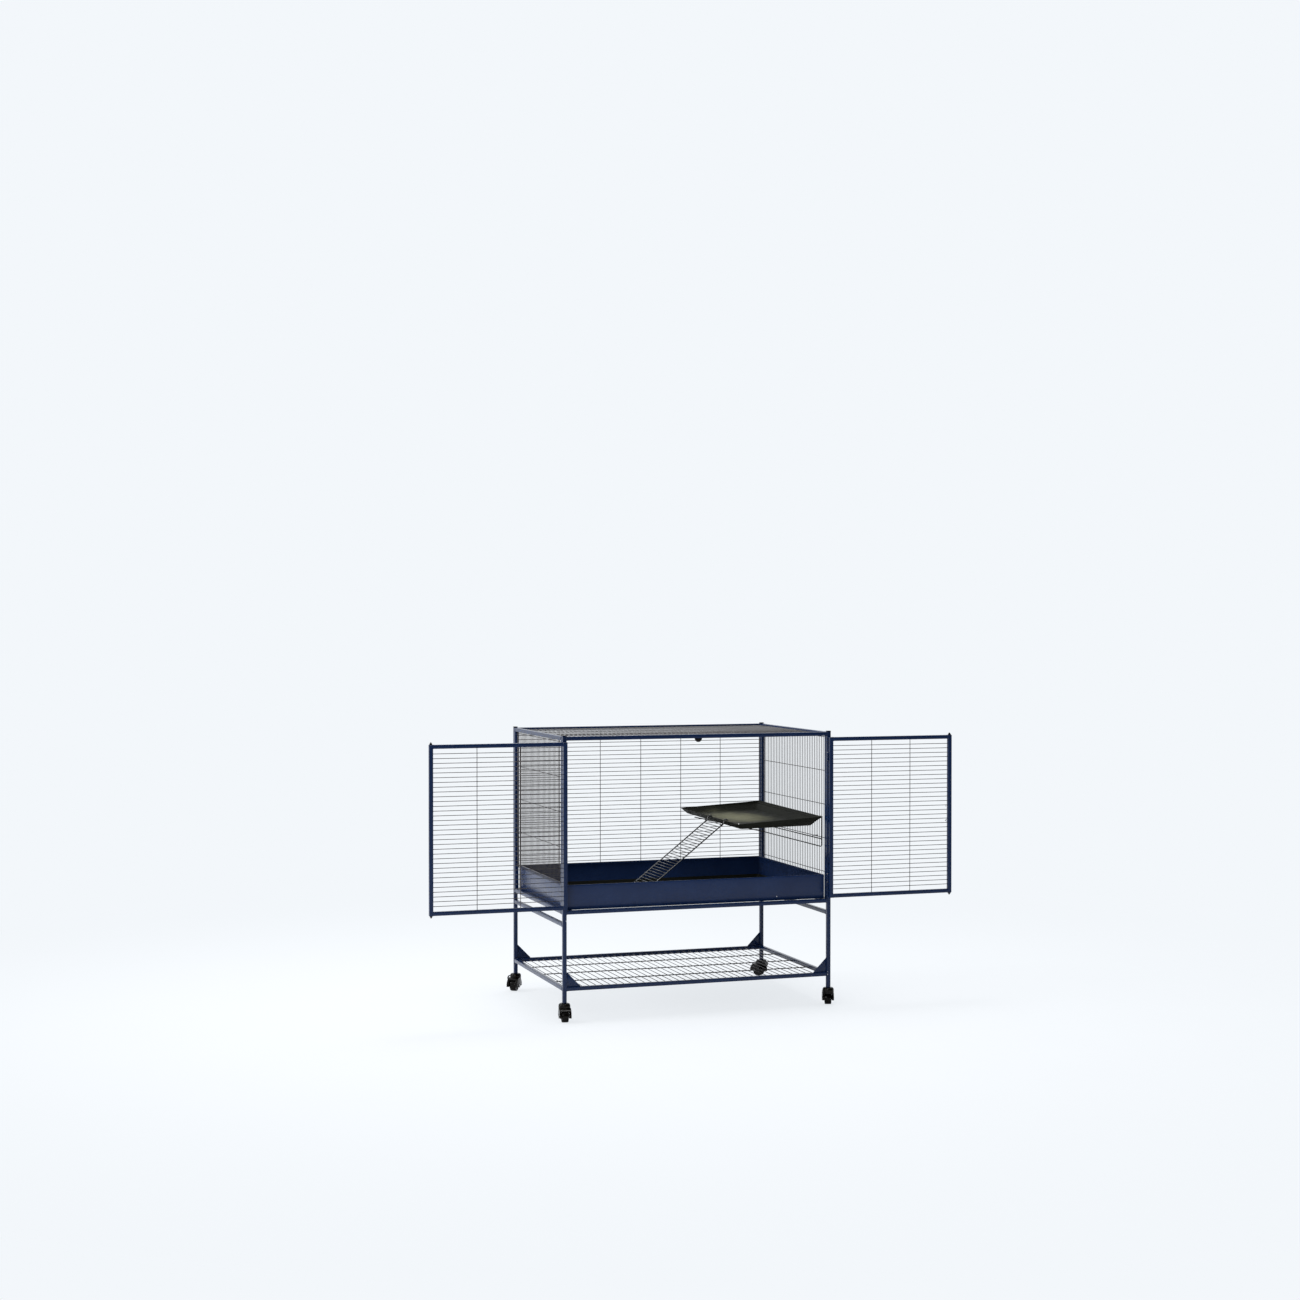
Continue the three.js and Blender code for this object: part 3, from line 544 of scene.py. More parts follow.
# %% Posts
half_width = 476
half_depth = 315
post_x = half_width - tube / 2
post_y = half_depth - tube / 2
inner_x = half_width - tube
inner_y = half_depth - tube
hinge_gap = 2.5
hinge_heights = (422.2, 836.8)
hinge_height = 27
post_foot = 61
rail_tops = {"top": 934, "floor": 364, "stand": 323, "base": 113}
rail_middle = {name: top - tube / 2 for name, top in rail_tops.items()}
sides = (("left", -1), ("right", 1))
ends = (("front", -1), ("back", 1))
corners = [(f"{end_name}_{side_name}", side, end) for end_name, end in ends for side_name, side in sides]


def add_barrel(stock, x, y, low, high):
    bore, edge, outer = 1.5, 1.9, 2.2
    profile = ((bore, low), (edge, low), (outer, low + 0.3), (outer, high - 0.3), (edge, high), (bore, high))
    return stock.loft([[(x + a, y + b, z) for a, b in circle(r, 16)] for r, z in profile], wrap=True)


def post_hinge(side, z):
    plate = Stock()
    x = side * inner_x
    y = -half_depth - hinge_gap
    start = x + side * 2.5
    add_block(plate, (start, -half_depth + 0.4, z), (start + side * 9, -half_depth - 1.9, z + hinge_height))
    for low in (z, z + 2 * hinge_height / 3):
        add_block(plate, (start + side, -half_depth - 1.9, low), (x, y + 1.8, low + hinge_height / 3))
    barrels = Stock()
    for low in (z, z + 2 * hinge_height / 3):
        add_barrel(barrels, x, y, low, low + hinge_height / 3)
    return plate, barrels


for label, side, end in corners:
    post = add_tube(Stock(), 2, (side * post_x, end * post_y, 0), post_foot, rail_tops["top"] + 1)
    make_piece(f"{label}_post_tube", post, "frame", "navy_paint", [f"{label}_post"])
    if end < 0:
        for level, z in zip(("lower", "upper"), hinge_heights):
            plate, barrels = post_hinge(side, z)
            hinge = f"{label.removeprefix('front_')}_{level}_post"
            make_piece(f"{hinge}_hinge_plate", plate, "frame", "navy_paint", bevel=0.4)
            make_piece(f"{hinge}_knuckles", barrels, "frame", "navy_paint")
print("posts made")

# %% Small bright fasteners on the front posts
def add_stud(stock, x, face, z, head, sides, way=-1):
    """A turned head, from (radius, height) pairs, on a face that looks to the front or, with way 1, back."""
    return stock.loft([on_axis(circle(r, sides)[::way], 1, face + way * h, (x, 0, z)) for r, h in head])


studs = Stock()
for x, z in ((465.1, 114.5), (465.1, 104.6), (471, 738), (-465, 330)):
    add_stud(studs, x, -half_depth, z, ((1.5, -0.2), (1.5, 0.3), (1.0, 0.7), (0.4, 0.8)), 12)
make_piece("frame_studs", studs, "frame", "pin_steel", smooth=60)
print("studs made")

# %% [markdown]
# The caps are pressed into the posts. Each has a thin skirt, a soft edge and a slightly domed top,
# so it is a stack of rounded squares that shrink towards the top.

# %% Caps
cap_skirt = [(4.5, 927.3), (4.5, 935.3)]
cap_brim = [(6.6, 935.3), (7.25, 935.7), (7.25, 937.0), (6.8, 937.7), (5.6, 938.1), (3.0, 938.3)]
for label, side, end in corners:
    centre = (side * post_x, end * post_y, 0)
    levels = [on_axis(round_ring(h, h, min(1.8, h * 0.6)), 2, z, centre) for h, z in cap_skirt + cap_brim]
    cap = Stock().loft(levels)
    make_piece(f"{label}_cap", cap, "frame", "black_plastic", [f"{label}_post_cap"], smooth=50)
print("caps made")

# %% [markdown]
# ## Rails and welded joints
#
# The rails between the posts are plain tube, welded all round where they meet a post. The front rails have
# two square holes each that take the nibs of the door bolts. The base rails also carry the gussets,
# triangles of 2 mm plate that keep the stand square.

# %% Rails between the posts
nib_x = 1 + tube / 2
nib_hole = 4.8
gusset_size = 48


def cross_rail(name, level, end, nib_face=0, gussets=False):
    z = rail_middle[level]
    centre = (0, end * post_y, z)
    rail = add_tube(Stock(), 0, centre, -inner_x + 0.05, inner_x - 0.05)
    piece = make_piece(f"{name}_tube", rail, "frame", "navy_paint", [name])
    welds = Stock()
    for side in (-1, 1):
        add_weld(welds, 0, centre, side * (inner_x - 0.6))
    make_piece(f"{name}_welds", welds, "frame", "navy_paint")
    if nib_face:
        for x in (-nib_x, nib_x):
            near = (x - nib_hole, end * post_y - nib_hole, z)
            far = (x + nib_hole, end * post_y + nib_hole, z + nib_face * 8)
            cut(piece, add_block(Stock(), near, far))
    if gussets:
        for side_name, side in sides:
            plate, bead = gusset(end * post_y, side, z + tube / 2 - 0.4)
            make_piece(f"{name}_{side_name}_gusset", plate, "frame", "navy_paint", bevel=0.4)
            make_piece(f"{name}_{side_name}_gusset_weld", bead, "frame", "navy_paint")


def gusset(y, side, foot):
    """A plate in the corner of rail and post, and the weld round its two faces."""
    corners = ((0.1, 0), (gusset_size, 0), (gusset_size, 2), (2, gusset_size + 0.6), (0.1, gusset_size + 0.6))
    edge = [(side * (inner_x - inset), foot + height) for inset, height in corners]
    if side < 0:
        edge.reverse()
    plate = Stock().loft([[(x, y + face, h) for x, h in edge] for face in (1, -1)])
    seam = ((gusset_size - 1, 0.6), (1, 0.6), (0.6, gusset_size))
    bead = Stock()
    for face in (-1, 1):
        line = [(side * (inner_x - inset), y + face, foot + height) for inset, height in seam]
        add_wire(bead, line, 1.0, 8, 3)
    return plate, bead


cross_rail("front_top_rail", "top", -1, nib_face=-1)
cross_rail("back_top_rail", "top", 1)
cross_rail("front_floor_rail", "floor", -1, nib_face=1)
cross_rail("back_floor_rail", "floor", 1)
cross_rail("front_base_rail", "base", -1, gussets=True)
cross_rail("back_base_rail", "base", 1, gussets=True)
print("cross rails made")

# %% Rails and panel frames at the sides
def side_rail(name, side, level):
    rail = Stock()
    centre = (side * post_x, 0, rail_middle[level])
    add_tube(rail, 1, centre, -inner_y + 0.05, inner_y - 0.05)
    for end in (-1, 1):
        add_weld(rail, 1, centre, end * (inner_y - 0.6))
    make_piece(f"{name}_tube", rail, "frame", "navy_paint", [name])


def panel_frame(name, side):
    ring = Stock()
    x = side * post_x
    reach = inner_y - 0.3
    for end in (-1, 1):
        add_tube(ring, 2, (x, end * (reach - tube / 2), 0), rail_tops["floor"] - tube, rail_tops["top"])
    for z in (rail_middle["floor"], rail_middle["top"]):
        add_tube(ring, 1, (x, 0, z), -reach + tube - 0.1, reach - tube + 0.1)
        for end in (-1, 1):
            add_weld(ring, 1, (x, 0, z), end * (reach - tube - 0.4), bulge=0.6)
    make_piece(f"{name}_tubes", ring, "frame", "navy_paint", [name])


for side_name, side in sides:
    side_rail(f"{side_name}_stand_rail", side, "stand")
    side_rail(f"{side_name}_base_side_rail", side, "base")
    panel_frame(f"{side_name}_panel_frame", side)
print("side rails and panel frames made")

# %% [markdown]
# ## Wire grilles
#
# Each panel is a row of thin wires on one side and a few cross wires on the other, spot welded where they
# touch: the two rows overlap by a fifth of a millimetre. Each grille is one mesh, and the spacing is
# worked out the same way as in the CAD model.

# %% Spacing and the grille maker
wire = 2.2
weld_sink = 0.1


def spread(low, high, pitch, edge):
    count = math.floor((high - low - 2 * edge) / pitch) + 1
    first = (low + high - (count - 1) * pitch) / 2
    return [first + i * pitch for i in range(count)]


def step_down(high, low, pitch):
    return [high - i * pitch for i in range(math.floor((high - low) / pitch) + 1)]


def divide(low, high, count):
    return [low + (i + 1) * (high - low) / (count + 1) for i in range(count)]


def add_grille(stock, along, bars, span, across, crosses, cross_span, side, plane=(0, 0, 0), cross_wire=wire):
    depth = 3 - along - across
    for places, run, place_axis, ends_at, shift, thickness in (
            (bars, along, across, span, side * (wire / 2 - weld_sink), wire),
            (crosses, across, along, cross_span, -side * (cross_wire / 2 - weld_sink), cross_wire)):
        for place in places:
            a = list(plane)
            b = list(plane)
            a[run], b[run] = plane[run] + ends_at[0], plane[run] + ends_at[1]
            a[place_axis] = b[place_axis] = plane[place_axis] + place
            a[depth] = b[depth] = plane[depth] + shift
            add_wire(stock, [a, b], thickness / 2)
    return stock


def grille_piece(name, body, *layout, **more):
    stock = add_grille(Stock(), *layout, **more)
    make_piece(f"{name}_wires", stock, body, "bare_wire", [name], smooth=60)


print("wire", wire, "mm")

# %% The five fixed grilles
under_roof = rail_tops["top"] - tube - 0.1
over_floor = rail_tops["floor"] + 0.1
tray_rim = 446
lowest_bar = tray_rim + 5
wide = inner_x - 0.1
deep = inner_y - 0.1
back_bars = step_down(906, lowest_bar, 15.13)
back_uprights = [-460.7 + i * 921.4 / 6 for i in range(7)]
grille_piece("back_grille", "frame", 0, back_bars, (-wide, wide), 2, back_uprights,
             (over_floor, under_roof), -1, plane=(0, post_y, 0))

side_reach = inner_y - tube - 0.6
side_wires = spread(-side_reach, side_reach, 15.2, 7)
side_crosses = step_down(915.6, lowest_bar, 115.6)
for side_name, side in sides:
    grille_piece(f"{side_name}_side_grille", "frame", 2, side_wires, (tray_rim - 5, under_roof), 1,
                 side_crosses, (-side_reach - 0.2, side_reach + 0.2), -side, plane=(side * post_x, 0, 0))

top_wires = spread(-wide + 0.2, wide - 0.2, 15.2, 7)
grille_piece("top_grille", "frame", 1, top_wires, (-deep, deep), 0, divide(-inner_y, inner_y, 2),
             (-wide, wide), 1, plane=(0, 0, rail_middle["top"]))
base_wires = spread(-wide + 0.2, wide - 0.2, 24.2, 7)
base_plane = (0, 0, rail_middle["base"])
grille_piece("base_grille", "frame", 1, base_wires, (-deep, deep), 0, [], (-wide, wide), 1, plane=base_plane)
stays = add_grille(Stock(), 1, [], (-deep, deep), 0, divide(-inner_y, inner_y, 3), (-wide, wide), 1,
                   plane=base_plane, cross_wire=3.4)
make_piece("base_grille_stays", stays, "frame", "black_wire", smooth=60)
print("wires: back", len(back_bars), "side", len(side_wires), "roof", len(top_wires), "base", len(base_wires))

# %% [markdown]
# ## Doors
#
# A door is drawn closed, from its hinge axis, and then turned half a turn about the hinge to where it hangs
# folded back. Drawn so, left and right differ only by a sign. Its leaf is a ring of the same tube, with a
# knuckle plate at each hinge and slots for the finger wires.

# %% Door frames and grilles
leaf_near = 2
leaf_far = 462
leaf_front = 2.5
leaf_y = leaf_front + tube / 2
door_low = 369.2
door_high = 916.8
door_middle = (door_low + door_high) / 2
slot_half = 2.2
slot_ends = (6.4, 30.6)


def hang(stock, side):
    """Turns a door drawn closed from its hinge axis to where it hangs open on a side of the cage."""
    axis_x = side * inner_x
    axis_y = -half_depth - hinge_gap
    stock.vertices = [(axis_x - x, axis_y - y, z) for x, y, z in stock.vertices]
    return stock


def door_frame(label, side):
    way = -side
    leaf = add_tube(Stock(), 2, (way * (leaf_near + tube / 2), leaf_y, 0), door_low, door_high)
    for z in (door_low + tube / 2, door_high - tube / 2):
        low, high = sorted((way * (leaf_near + tube - 0.1), way * (leaf_far - tube + 0.1)))
        add_tube(leaf, 0, (0, leaf_y, z), low, high)
        for x in (low + 0.5, high - 0.5):
            add_weld(leaf, 0, (0, leaf_y, z), x, bulge=0.6)
    body = f"{label}_door"
    make_piece(f"{body}_tubes", hang(leaf, side), body, "navy_paint", [f"{body}_frame"])
    stile = way * (leaf_far - tube / 2)
    free = add_tube(Stock(), 2, (stile, leaf_y, 0), door_low, door_high)
    piece = make_piece(f"{body}_free_stile", hang(free, side), body, "navy_paint")
    for up in (1, -1):
        near = (stile - slot_half, leaf_front - 1, door_middle + up * slot_ends[0])
        far = (stile + slot_half, leaf_front + 6, door_middle + up * slot_ends[1])
        cut(piece, hang(add_block(Stock(), near, far), side))
    for level, z in zip(("lower", "upper"), hinge_heights):
        plate = Stock()
        third = hinge_height / 3
        add_block(plate, (way * 2.5, 0.6, z), (way * 11.5, leaf_front + 0.6, z + hinge_height))
        add_block(plate, (0, 0.6, z + third + 0.3), (way * 3.5, 2.2, z + 2 * third - 0.3))
        hinge = f"{label}_{level}_door"
        make_piece(f"{hinge}_hinge_plate", hang(plate, side), body, "navy_paint", bevel=0.3)
        barrel = add_barrel(Stock(), 0, 0, z + third + 0.3, z + 2 * third - 0.3)
        make_piece(f"{hinge}_knuckle", hang(barrel, side), body, "navy_paint")


def door_grille(label, side):
    way = -side
    middle = way * (leaf_near + leaf_far) / 2
    reach = (leaf_far - leaf_near) / 2 - tube - 0.1
    bars = spread(door_low + tube, door_high - tube, 15.28, 12)
    uprights = divide(-reach, reach, 2)
    height = (door_low + tube + 0.1, door_high - tube - 0.1)
    plane = (middle, leaf_y, 0)
    stock = add_grille(Stock(), 0, bars, (-reach, reach), 2, uprights, height, -1, plane)
    body = f"{label}_door"
    make_piece(f"{body}_wires", hang(stock, side), body, "bare_wire", [f"{body}_grille"], smooth=60)
    return len(bars)


for side_name, side in sides:
    door_frame(side_name, side)
    print(side_name, "door with", door_grille(side_name, side), "bars")

# %% [markdown]
# ## Door bolts
#
# Each free stile hides two sprung bolts. A square plunger guides the bolt in the tube, its tip tapers
# so that the door can be pushed shut, and a bent finger wire sticks out through a slot. Drawing back
# the finger wire pulls the nib into the stile.

# %% Bolts
def door_bolt(label, level, side, up):
    way = -side
    x = way * (leaf_far - tube / 2)
    end = door_high if up > 0 else door_low
    body = f"{label}_{level}_bolt_body"
    bolt = Stock()
    levels = ((4.5, -30), (4.5, 1), (3.9, 2.4), (1.6, 7.4), (1.0, 8))
    rings = [on_axis(round_ring(h, h, min(0.7, h * 0.4)), 2, end + up * z, (x, leaf_y, 0)) for h, z in levels]
    bolt.loft(rings if up > 0 else rings[::-1])
    near = door_middle + up * 17
    far = near + up * 11
    add_wire(bolt, [(x, leaf_y, near), (x, leaf_y, end - up * 29)], 2, 10)
    make_piece(body, hang(bolt, side), body, "black_plastic", [f"{label}_{level}_bolt"], smooth=40)
    bends = [(x, leaf_y, far), (x, leaf_front - 26, far), (x, leaf_front - 5, near)]
    finger = add_wire(Stock(), bends, 1.3, 10, 5)
    make_piece(f"{label}_{level}_finger_wire", hang(finger, side), body, "pin_steel", smooth=60)


for side_name, side in sides:
    door_bolt(side_name, "upper", side, 1)
    door_bolt(side_name, "lower", side, -1)
print("four bolts made")

# %% [markdown]
# ## Door stop
#
# A small black tab behind the middle of the top rail keeps the doors from swinging inwards. It is a plate
# with a half round end, cut from an outline and bevelled, held by two rivets.

# %% Door stop
def door_stop():
    top = 927.2
    back = -inner_y + 2.3
    radius = 13
    edge = [(radius, top), (-radius, top)]
    for i in range(17):
        angle = math.pi * i / 16
        edge.append((-radius * math.cos(angle), top - 6.7 - radius * math.sin(angle)))
    stop = Stock().loft([[(x, y, z) for x, z in edge] for y in (back, back - 2)])
    make_piece("door_stop_tab", stop, "frame", "black_plastic", ["door_stop"], bevel=0.4)
    rivets = Stock()
    for x in (-7, 7):
        add_stud(rivets, x, back, top - 5.5, ((2.4, -0.1), (2.4, 0.4), (1.7, 0.8), (0.6, 1.0)), 14, way=1)
    make_piece("door_stop_rivets", rivets, "frame", "pin_steel", smooth=60)


door_stop()
print("door stop made")

# %% [markdown]
# ## Tray and liner
#
# The tray is folded sheet with its rim rolled over, and a smooth plastic liner lies in it. Both are pans:
# a stack of rounded rectangles that goes up the outside, over the rim and down the inside.

# %% Pans from stacked outlines
tray_half = (458, 301)
liner_half = (456.5, 299.5)


def pan(half, levels):
    """levels are (inset, corner radius, height), from the underside, over the rim, to the inside."""
    rings = []
    for inset, radius, z in levels:
        ring = round_ring(half[0] - inset, half[1] - inset, radius, 6)
        rings.append([(x, y, z) for x, y in ring])
    return Stock().loft(rings)


def litter_tray():
    outside = [(1, 2, 364.3), (0.3, 2.2, 364.4), (0, 2.4, 364.8), (0, 2.4, 440.5)]
    rim = [(0, 2.4, 444.6), (0.3, 2.3, 445.6), (1.0, 2.2, 446.0), (2.2, 2, 446.0), (2.9, 2, 445.5),
           (3.1, 2, 444.4), (3.1, 2, 438.5), (1.1, 2, 438.2)]
    inside = [(1.0, 2, 367.0), (2.2, 1.6, 365.5), (4, 1.2, 365.3)]
    tray = pan(tray_half, outside + rim + inside)
    make_piece("litter_tray_pan", tray, "tray", "tray_paint", ["litter_tray"], smooth=40)
    head = ((1.9, -0.1), (1.9, 0.3), (1.3, 0.6), (0.5, 0.8))
    rivet = add_stud(Stock(), 283, -tray_half[1], 378, head, 14)
    make_piece("litter_tray_rivet", rivet, "tray", "pin_steel", smooth=60)


def tray_liner():
    outside = [(9, 8, 365.6), (5, 10, 365.8), (2.6, 11, 367.2), (1.8, 12, 369.5)]
    rim = [(0.5, 12, 378.6), (0, 12, 379.4), (0.5, 12, 380), (1.4, 12, 379.8), (2.1, 12, 378.6)]
    inside = [(3.4, 11, 370.5), (4.6, 10, 368.4), (8, 8, 367.2), (12, 6, 367.1)]
    liner = pan(liner_half, outside + rim + inside)
    make_piece("tray_liner_pan", liner, "tray", "pan_plastic", ["tray_liner"], smooth=60)


litter_tray()
tray_liner()
print("tray and liner made")

# %% [markdown]
# ## Half shelf
#
# The shelf is one plastic pressing: a shallow pan whose right edge climbs over a ledge to a raised lip. It
# leans a little to the left and to the front, as it does in the photograph. It is drawn level as a stack
# of outlines, its right end is lifted by a smooth ramp, and then the whole is leaned by the same angles
# as the CAD solid.

# %% Half shelf
shelf_x = 302
shelf_z = 630.5
lean_side = math.radians(1.03)
lean_front = math.radians(0.74)


def lean(point):
    """From the level shelf to the leaning one: first about y, then about x, as the CAD group turns."""
    x, y, z = point
    x, z = turn(x, z, lean_side)
    y, z = turn(y, z, lean_front)
    return (x + shelf_x, y, z + shelf_z)


def turn(a, b, angle):
    return a * math.cos(angle) - b * math.sin(angle), a * math.sin(angle) + b * math.cos(angle)


def outline(x0, x1, half_y, radius, z):
    middle = (x0 + x1) / 2
    return [(x + middle, y, z) for x, y in round_ring((x1 - x0) / 2, half_y, radius, 7)]


def half_shelf():
    # left edge, right edge, half depth, corner radius, height, lift at the right
    outside = [
        (-137, 119, 271, 9, -17, 0),
        (-139.5, 121.5, 273.5, 11, -16.5, 0),
        (-141.5, 123.4, 275.5, 12, -14.8, 0),
        (-153.6, 132.6, 287.6, 7, -1.6, 0),
        (-154.8, 133.6, 289, 5, 0, 0),
    ]
    rim_and_ledge = [
        (-155.6, 155, 289.6, 4, 0.1, 12),
        (-156, 156, 290, 4, 0.9, 12),
        (-155.4, 155.2, 289.4, 4, 1.7, 12),
        (-154, 153.8, 288, 4, 2.0, 12),
        (-153.4, 149.5, 287.6, 4, 2.0, 11.2),
        (-153.1, 147.6, 287.4, 4.5, 1.9, 7.4),
        (-152.8, 142, 287, 5, 1.8, 6.6),
        (-152.6, 140, 286.7, 5, 1.7, 2.6),
        (-152.4, 134.6, 286.4, 6, 1.5, 1.2),
    ]
    inside = [
        (-151.4, 131.4, 285.4, 7, 0.4, 0),
        (-140.2, 121.8, 274.2, 11, -13.4, 0),
        (-138.2, 119.6, 272.2, 9, -14.6, 0),
        (-134.5, 116, 268.5, 8, -15, 0),
    ]
    rings = []
    for x0, x1, half_y, radius, z, lift in outside + rim_and_ledge + inside:
        ring = outline(x0, x1, half_y, radius, z)
        rings.append([lean((x, y, h + lift * smooth_ramp((x - 125) / 16))) for x, y, h in ring])
    pressing = Stock().loft(rings)
    make_piece("half_shelf_pressing", pressing, "frame", "pan_plastic", ["half_shelf"], smooth=40)
    lugs = Stock()
    lug_places = ((-152, 199, 1.5, 5, 13), (-152, 30, 1.5, 5, 6), (56, -286.5, 5, 1.5, 9))
    for x, y, half_x, half_y, drop in lug_places:
        section = round_ring(half_x, half_y, 0.8, 3)
        rings = []
        for h, share in ((-0.2, 1), (-drop * 0.6, 0.8), (-drop, 0.35)):
            rings.append([lean((x + a * share, y + b * share, h)) for a, b in section])
        lugs.loft(rings[::-1])
    make_piece("half_shelf_lugs", lugs, "frame", "pan_plastic", bevel=0.3)
    head = ((2.9, 1.7), (2.8, 3.0), (2.0, 3.8), (0.8, 4.1))
    stud = Stock().loft([[lean((x - 150, y - 284.5, h)) for x, y in circle(r, 14)] for r, h in head])
    make_piece("half_shelf_stud", stud, "frame", "pin_steel", smooth=60)


def smooth_ramp(t):
    t = min(max(t, 0), 1)
    return t * t * (3 - 2 * t)


half_shelf()
print("half shelf leans by", [round(math.degrees(angle), 2) for angle in (lean_side, lean_front)], "degrees")

# %% [markdown]
# ## Bracket and ladder
#
# Both are bent from round wire, so each is a list of corner points and one bend radius. The ladder's rails
# end in hooks over the shelf's rim, and its rungs lie across the rails, pressed a little into them by the
# weld. Sleeves cover the rails' necks.

# %% Shelf bracket
def shelf_bracket():
    x = 452
    front = -292.6
    back = 240
    loops = Stock()
    add_wire(loops, [(x, front, 560), (x, front, 644.9), (x, front + 9, 644.9)], 1.8, 10, 5)
    loop = [(x, back, 553), (x, back, 567), (x, front, 567), (x, front, 541), (x, back - 6, 541)]
    strut_end = (166, 196, 606.9)
    add_wire(loops, [*loop, strut_end], 1.8, 10, 9)
    add_wire(loops, [(x, back, 543), (x, back, 560)], 1.6, 10)
    hook_y = 15.2 * 14
    for y in (-hook_y, hook_y):
        add_wire(loops, [(x, y, 566), (x, y, 571.8), (473.0, y, 571.8)], 1.5, 10, 3)
    make_piece("shelf_bracket_wire", loops, "frame", "black_wire", ["shelf_bracket"], smooth=60)


shelf_bracket()
print("bracket made")

# %% Ladder
ladder_y = -91
rung_pitch = 11.7
rung_reach = 80.2
rail_reach = 79
rail_radius = 2.25
hook_radius = 5.5
liner_top = 367.1
pivot_x = 147.2
pivot_z = shelf_z + (pivot_x - shelf_x) * math.tan(lean_side) + ladder_y * math.tan(lean_front)


def from_pivot(points, y):
    """Points in the ladder's upright plane, moved to the cage's frame at a place across the ladder."""
    return [(pivot_x + x, ladder_y + y, pivot_z + z) for x, z in points]


def ladder():
    slope = math.tan(math.radians(38))
    foot_z = liner_top + 0.3 + 1.3 * rail_radius - pivot_z
    foot_x = (foot_z + 2.5) / slope
    neck_x = -9
    neck_z = foot_z + (neck_x - foot_x) * slope
    angles = [math.radians(a) for a in range(180, 50, -16)]
    hook = [(hook_radius * math.cos(angle), hook_radius * math.sin(angle)) for angle in angles]
    path = [(foot_x, foot_z), (neck_x, neck_z), *hook, (9.4, 2.0)]
    sleeve = [(neck_x - 0.6, neck_z - 0.6 * slope), (neck_x - 8.5, neck_z - 8.5 * slope)]
    stock = Stock()
    sleeves = Stock()
    for y in (-rail_reach, rail_reach):
        add_wire(stock, from_pivot(path, y), rail_radius, 12, 2)
        add_wire(sleeves, from_pivot(sleeve, y), 3.4, 12)
    length = math.hypot(neck_x - foot_x, neck_z - foot_z)
    rungs = step_down(length - rung_pitch / 2, 0, rung_pitch)
    for along in rungs:
        x = foot_x + along * (neck_x - foot_x) / length - 0.9
        z = foot_z + along * (neck_z - foot_z) / length + 1.2
        rung = [from_pivot([(x, z)], y)[0] for y in (-rung_reach, rung_reach)]
        add_wire(stock, rung, 1.35, 10)
    # the ladder's wire is glossy black coat with a painted sheen in its lighter colour
    make_piece("ladder_wires", stock, "ladder_body", "black_wire", ["ladder"], smooth=60, finish=sheen_painted_wire)
    make_piece("ladder_sleeves", sleeves, "ladder_body", "black_plastic", smooth=60)
    return len(rungs)


print("ladder with", ladder(), "rungs")

# %% [markdown]
# ## Casters
#
# A caster's hood is a round dome under the post that runs into two cheeks round the wheel, moulded as one.
# It is made the same way here: a turned dome and a drum about the axle are joined, and then the wheel's
# well, the open mouth and everything under the cheeks are cut away. A bevel after the cuts gives it the
# soft edges of a moulding.

# %% Caster parts
turns = {"front_left": -10, "front_right": 160, "back_left": -35, "back_right": 201}
trail = 14
axle_z = 21
cheek_x = 19.5
well_x = 12
hood_foot = 17
hood_arch = 40


def mount_caster(stock, label):
    """From a caster's own stem axis, trailing to the front, to its post."""
    side = -1 if "left" in label else 1
    end = -1 if "front" in label else 1
    angle = math.radians(turns[label])
    placed = []
    for x, y, z in stock.vertices:
        a, b = turn(x, y, angle)
        placed.append((side * post_x + a, end * post_y + b, z))
    stock.vertices = placed
    return stock


def lathe(profile, sides=40):
    """Rings about the stem's axis, from (radius, height) pairs."""
    return Stock().loft([[(x, y, z) for x, y in circle(r, sides)] for r, z in profile])


def drum(half, radius, sides=48):
    """A round block about the axle."""
    return Stock().loft([on_axis(circle(radius, sides), 0, x, (0, -trail, axle_z)) for x in (-half, half)])


def about_axle(profile, sides):
    """Rings about the axle, from (radius, place along it) pairs."""
    return [on_axis(circle(r, sides), 0, x, (0, -trail, axle_z)) for r, x in profile]


def caster_hood(label, body):
    crown = [(19.2, 55), (18.2, 57.4), (16.6, 59.4), (14.2, 60.4), (11, 60.7)]
    dome = mount_caster(lathe([(cheek_x, 36), (cheek_x, 52.5)] + crown), label)
    hood = make_piece(f"{label}_hood", dome, body, "black_plastic", [f"{label}_caster_hood"])
    cut(hood, mount_caster(drum(cheek_x, 26), label), "UNION")
    well = drum(well_x, 23.5)
    mouth = add_block(Stock(), (-well_x, -70, -1), (well_x, 70, hood_arch))
    below = add_block(Stock(), (-30, -60, -20), (30, 60, hood_foot))
    for tool in (well, mouth, below):
        cut(hood, mount_caster(tool, label))
    soften(hood, 0.9, 3)
    hood.data.shade_smooth()
    hood.data.set_sharp_from_angle(angle=math.radians(40))


def caster_fittings(label, body):
    stem = lathe([(4, 59.5), (4, 84), (3.2, 84.7)], 16)
    collar = lathe([(9.5, 60.2), (9.5, 60.9), (6, 60.95), (4.1, 60.97)], 24)
    make_piece(f"{label}_stem", mount_caster(stem, label), body, "pin_steel", smooth=60)
    make_piece(f"{label}_collar", mount_caster(collar, label), body, "black_plastic")
    bosses = Stock()
    for side in (-1, 1):
        boss = [(8.5, 19.3), (8.5, 19.9), (7.6, 20.3), (5.2, 20.3), (5.0, 19.7)]
        bosses.loft(about_axle([(r, side * x) for r, x in boss], 28)[::side])
    make_piece(f"{label}_bosses", mount_caster(bosses, label), body, "black_plastic")


def wheel_body():
    half = [(3.3, 10), (6, 10.4), (7, 11), (9.5, 11), (10.5, 9.6), (16, 9.2), (17, 10.6), (19, 11),
            (20.3, 10.2), (20.9, 8)]
    profile = [(r, -x) for r, x in half] + [(21, 0)] + half[::-1]
    return Stock().loft(about_axle(profile, 40), wrap=True)


def axle_pin():
    profile = [(3.4, -21.3), (4.2, -20.9), (4.3, -19.9), (3, -19.8), (3, 19.8), (2.5, 20.6)]
    return Stock().loft(about_axle(profile, 20))


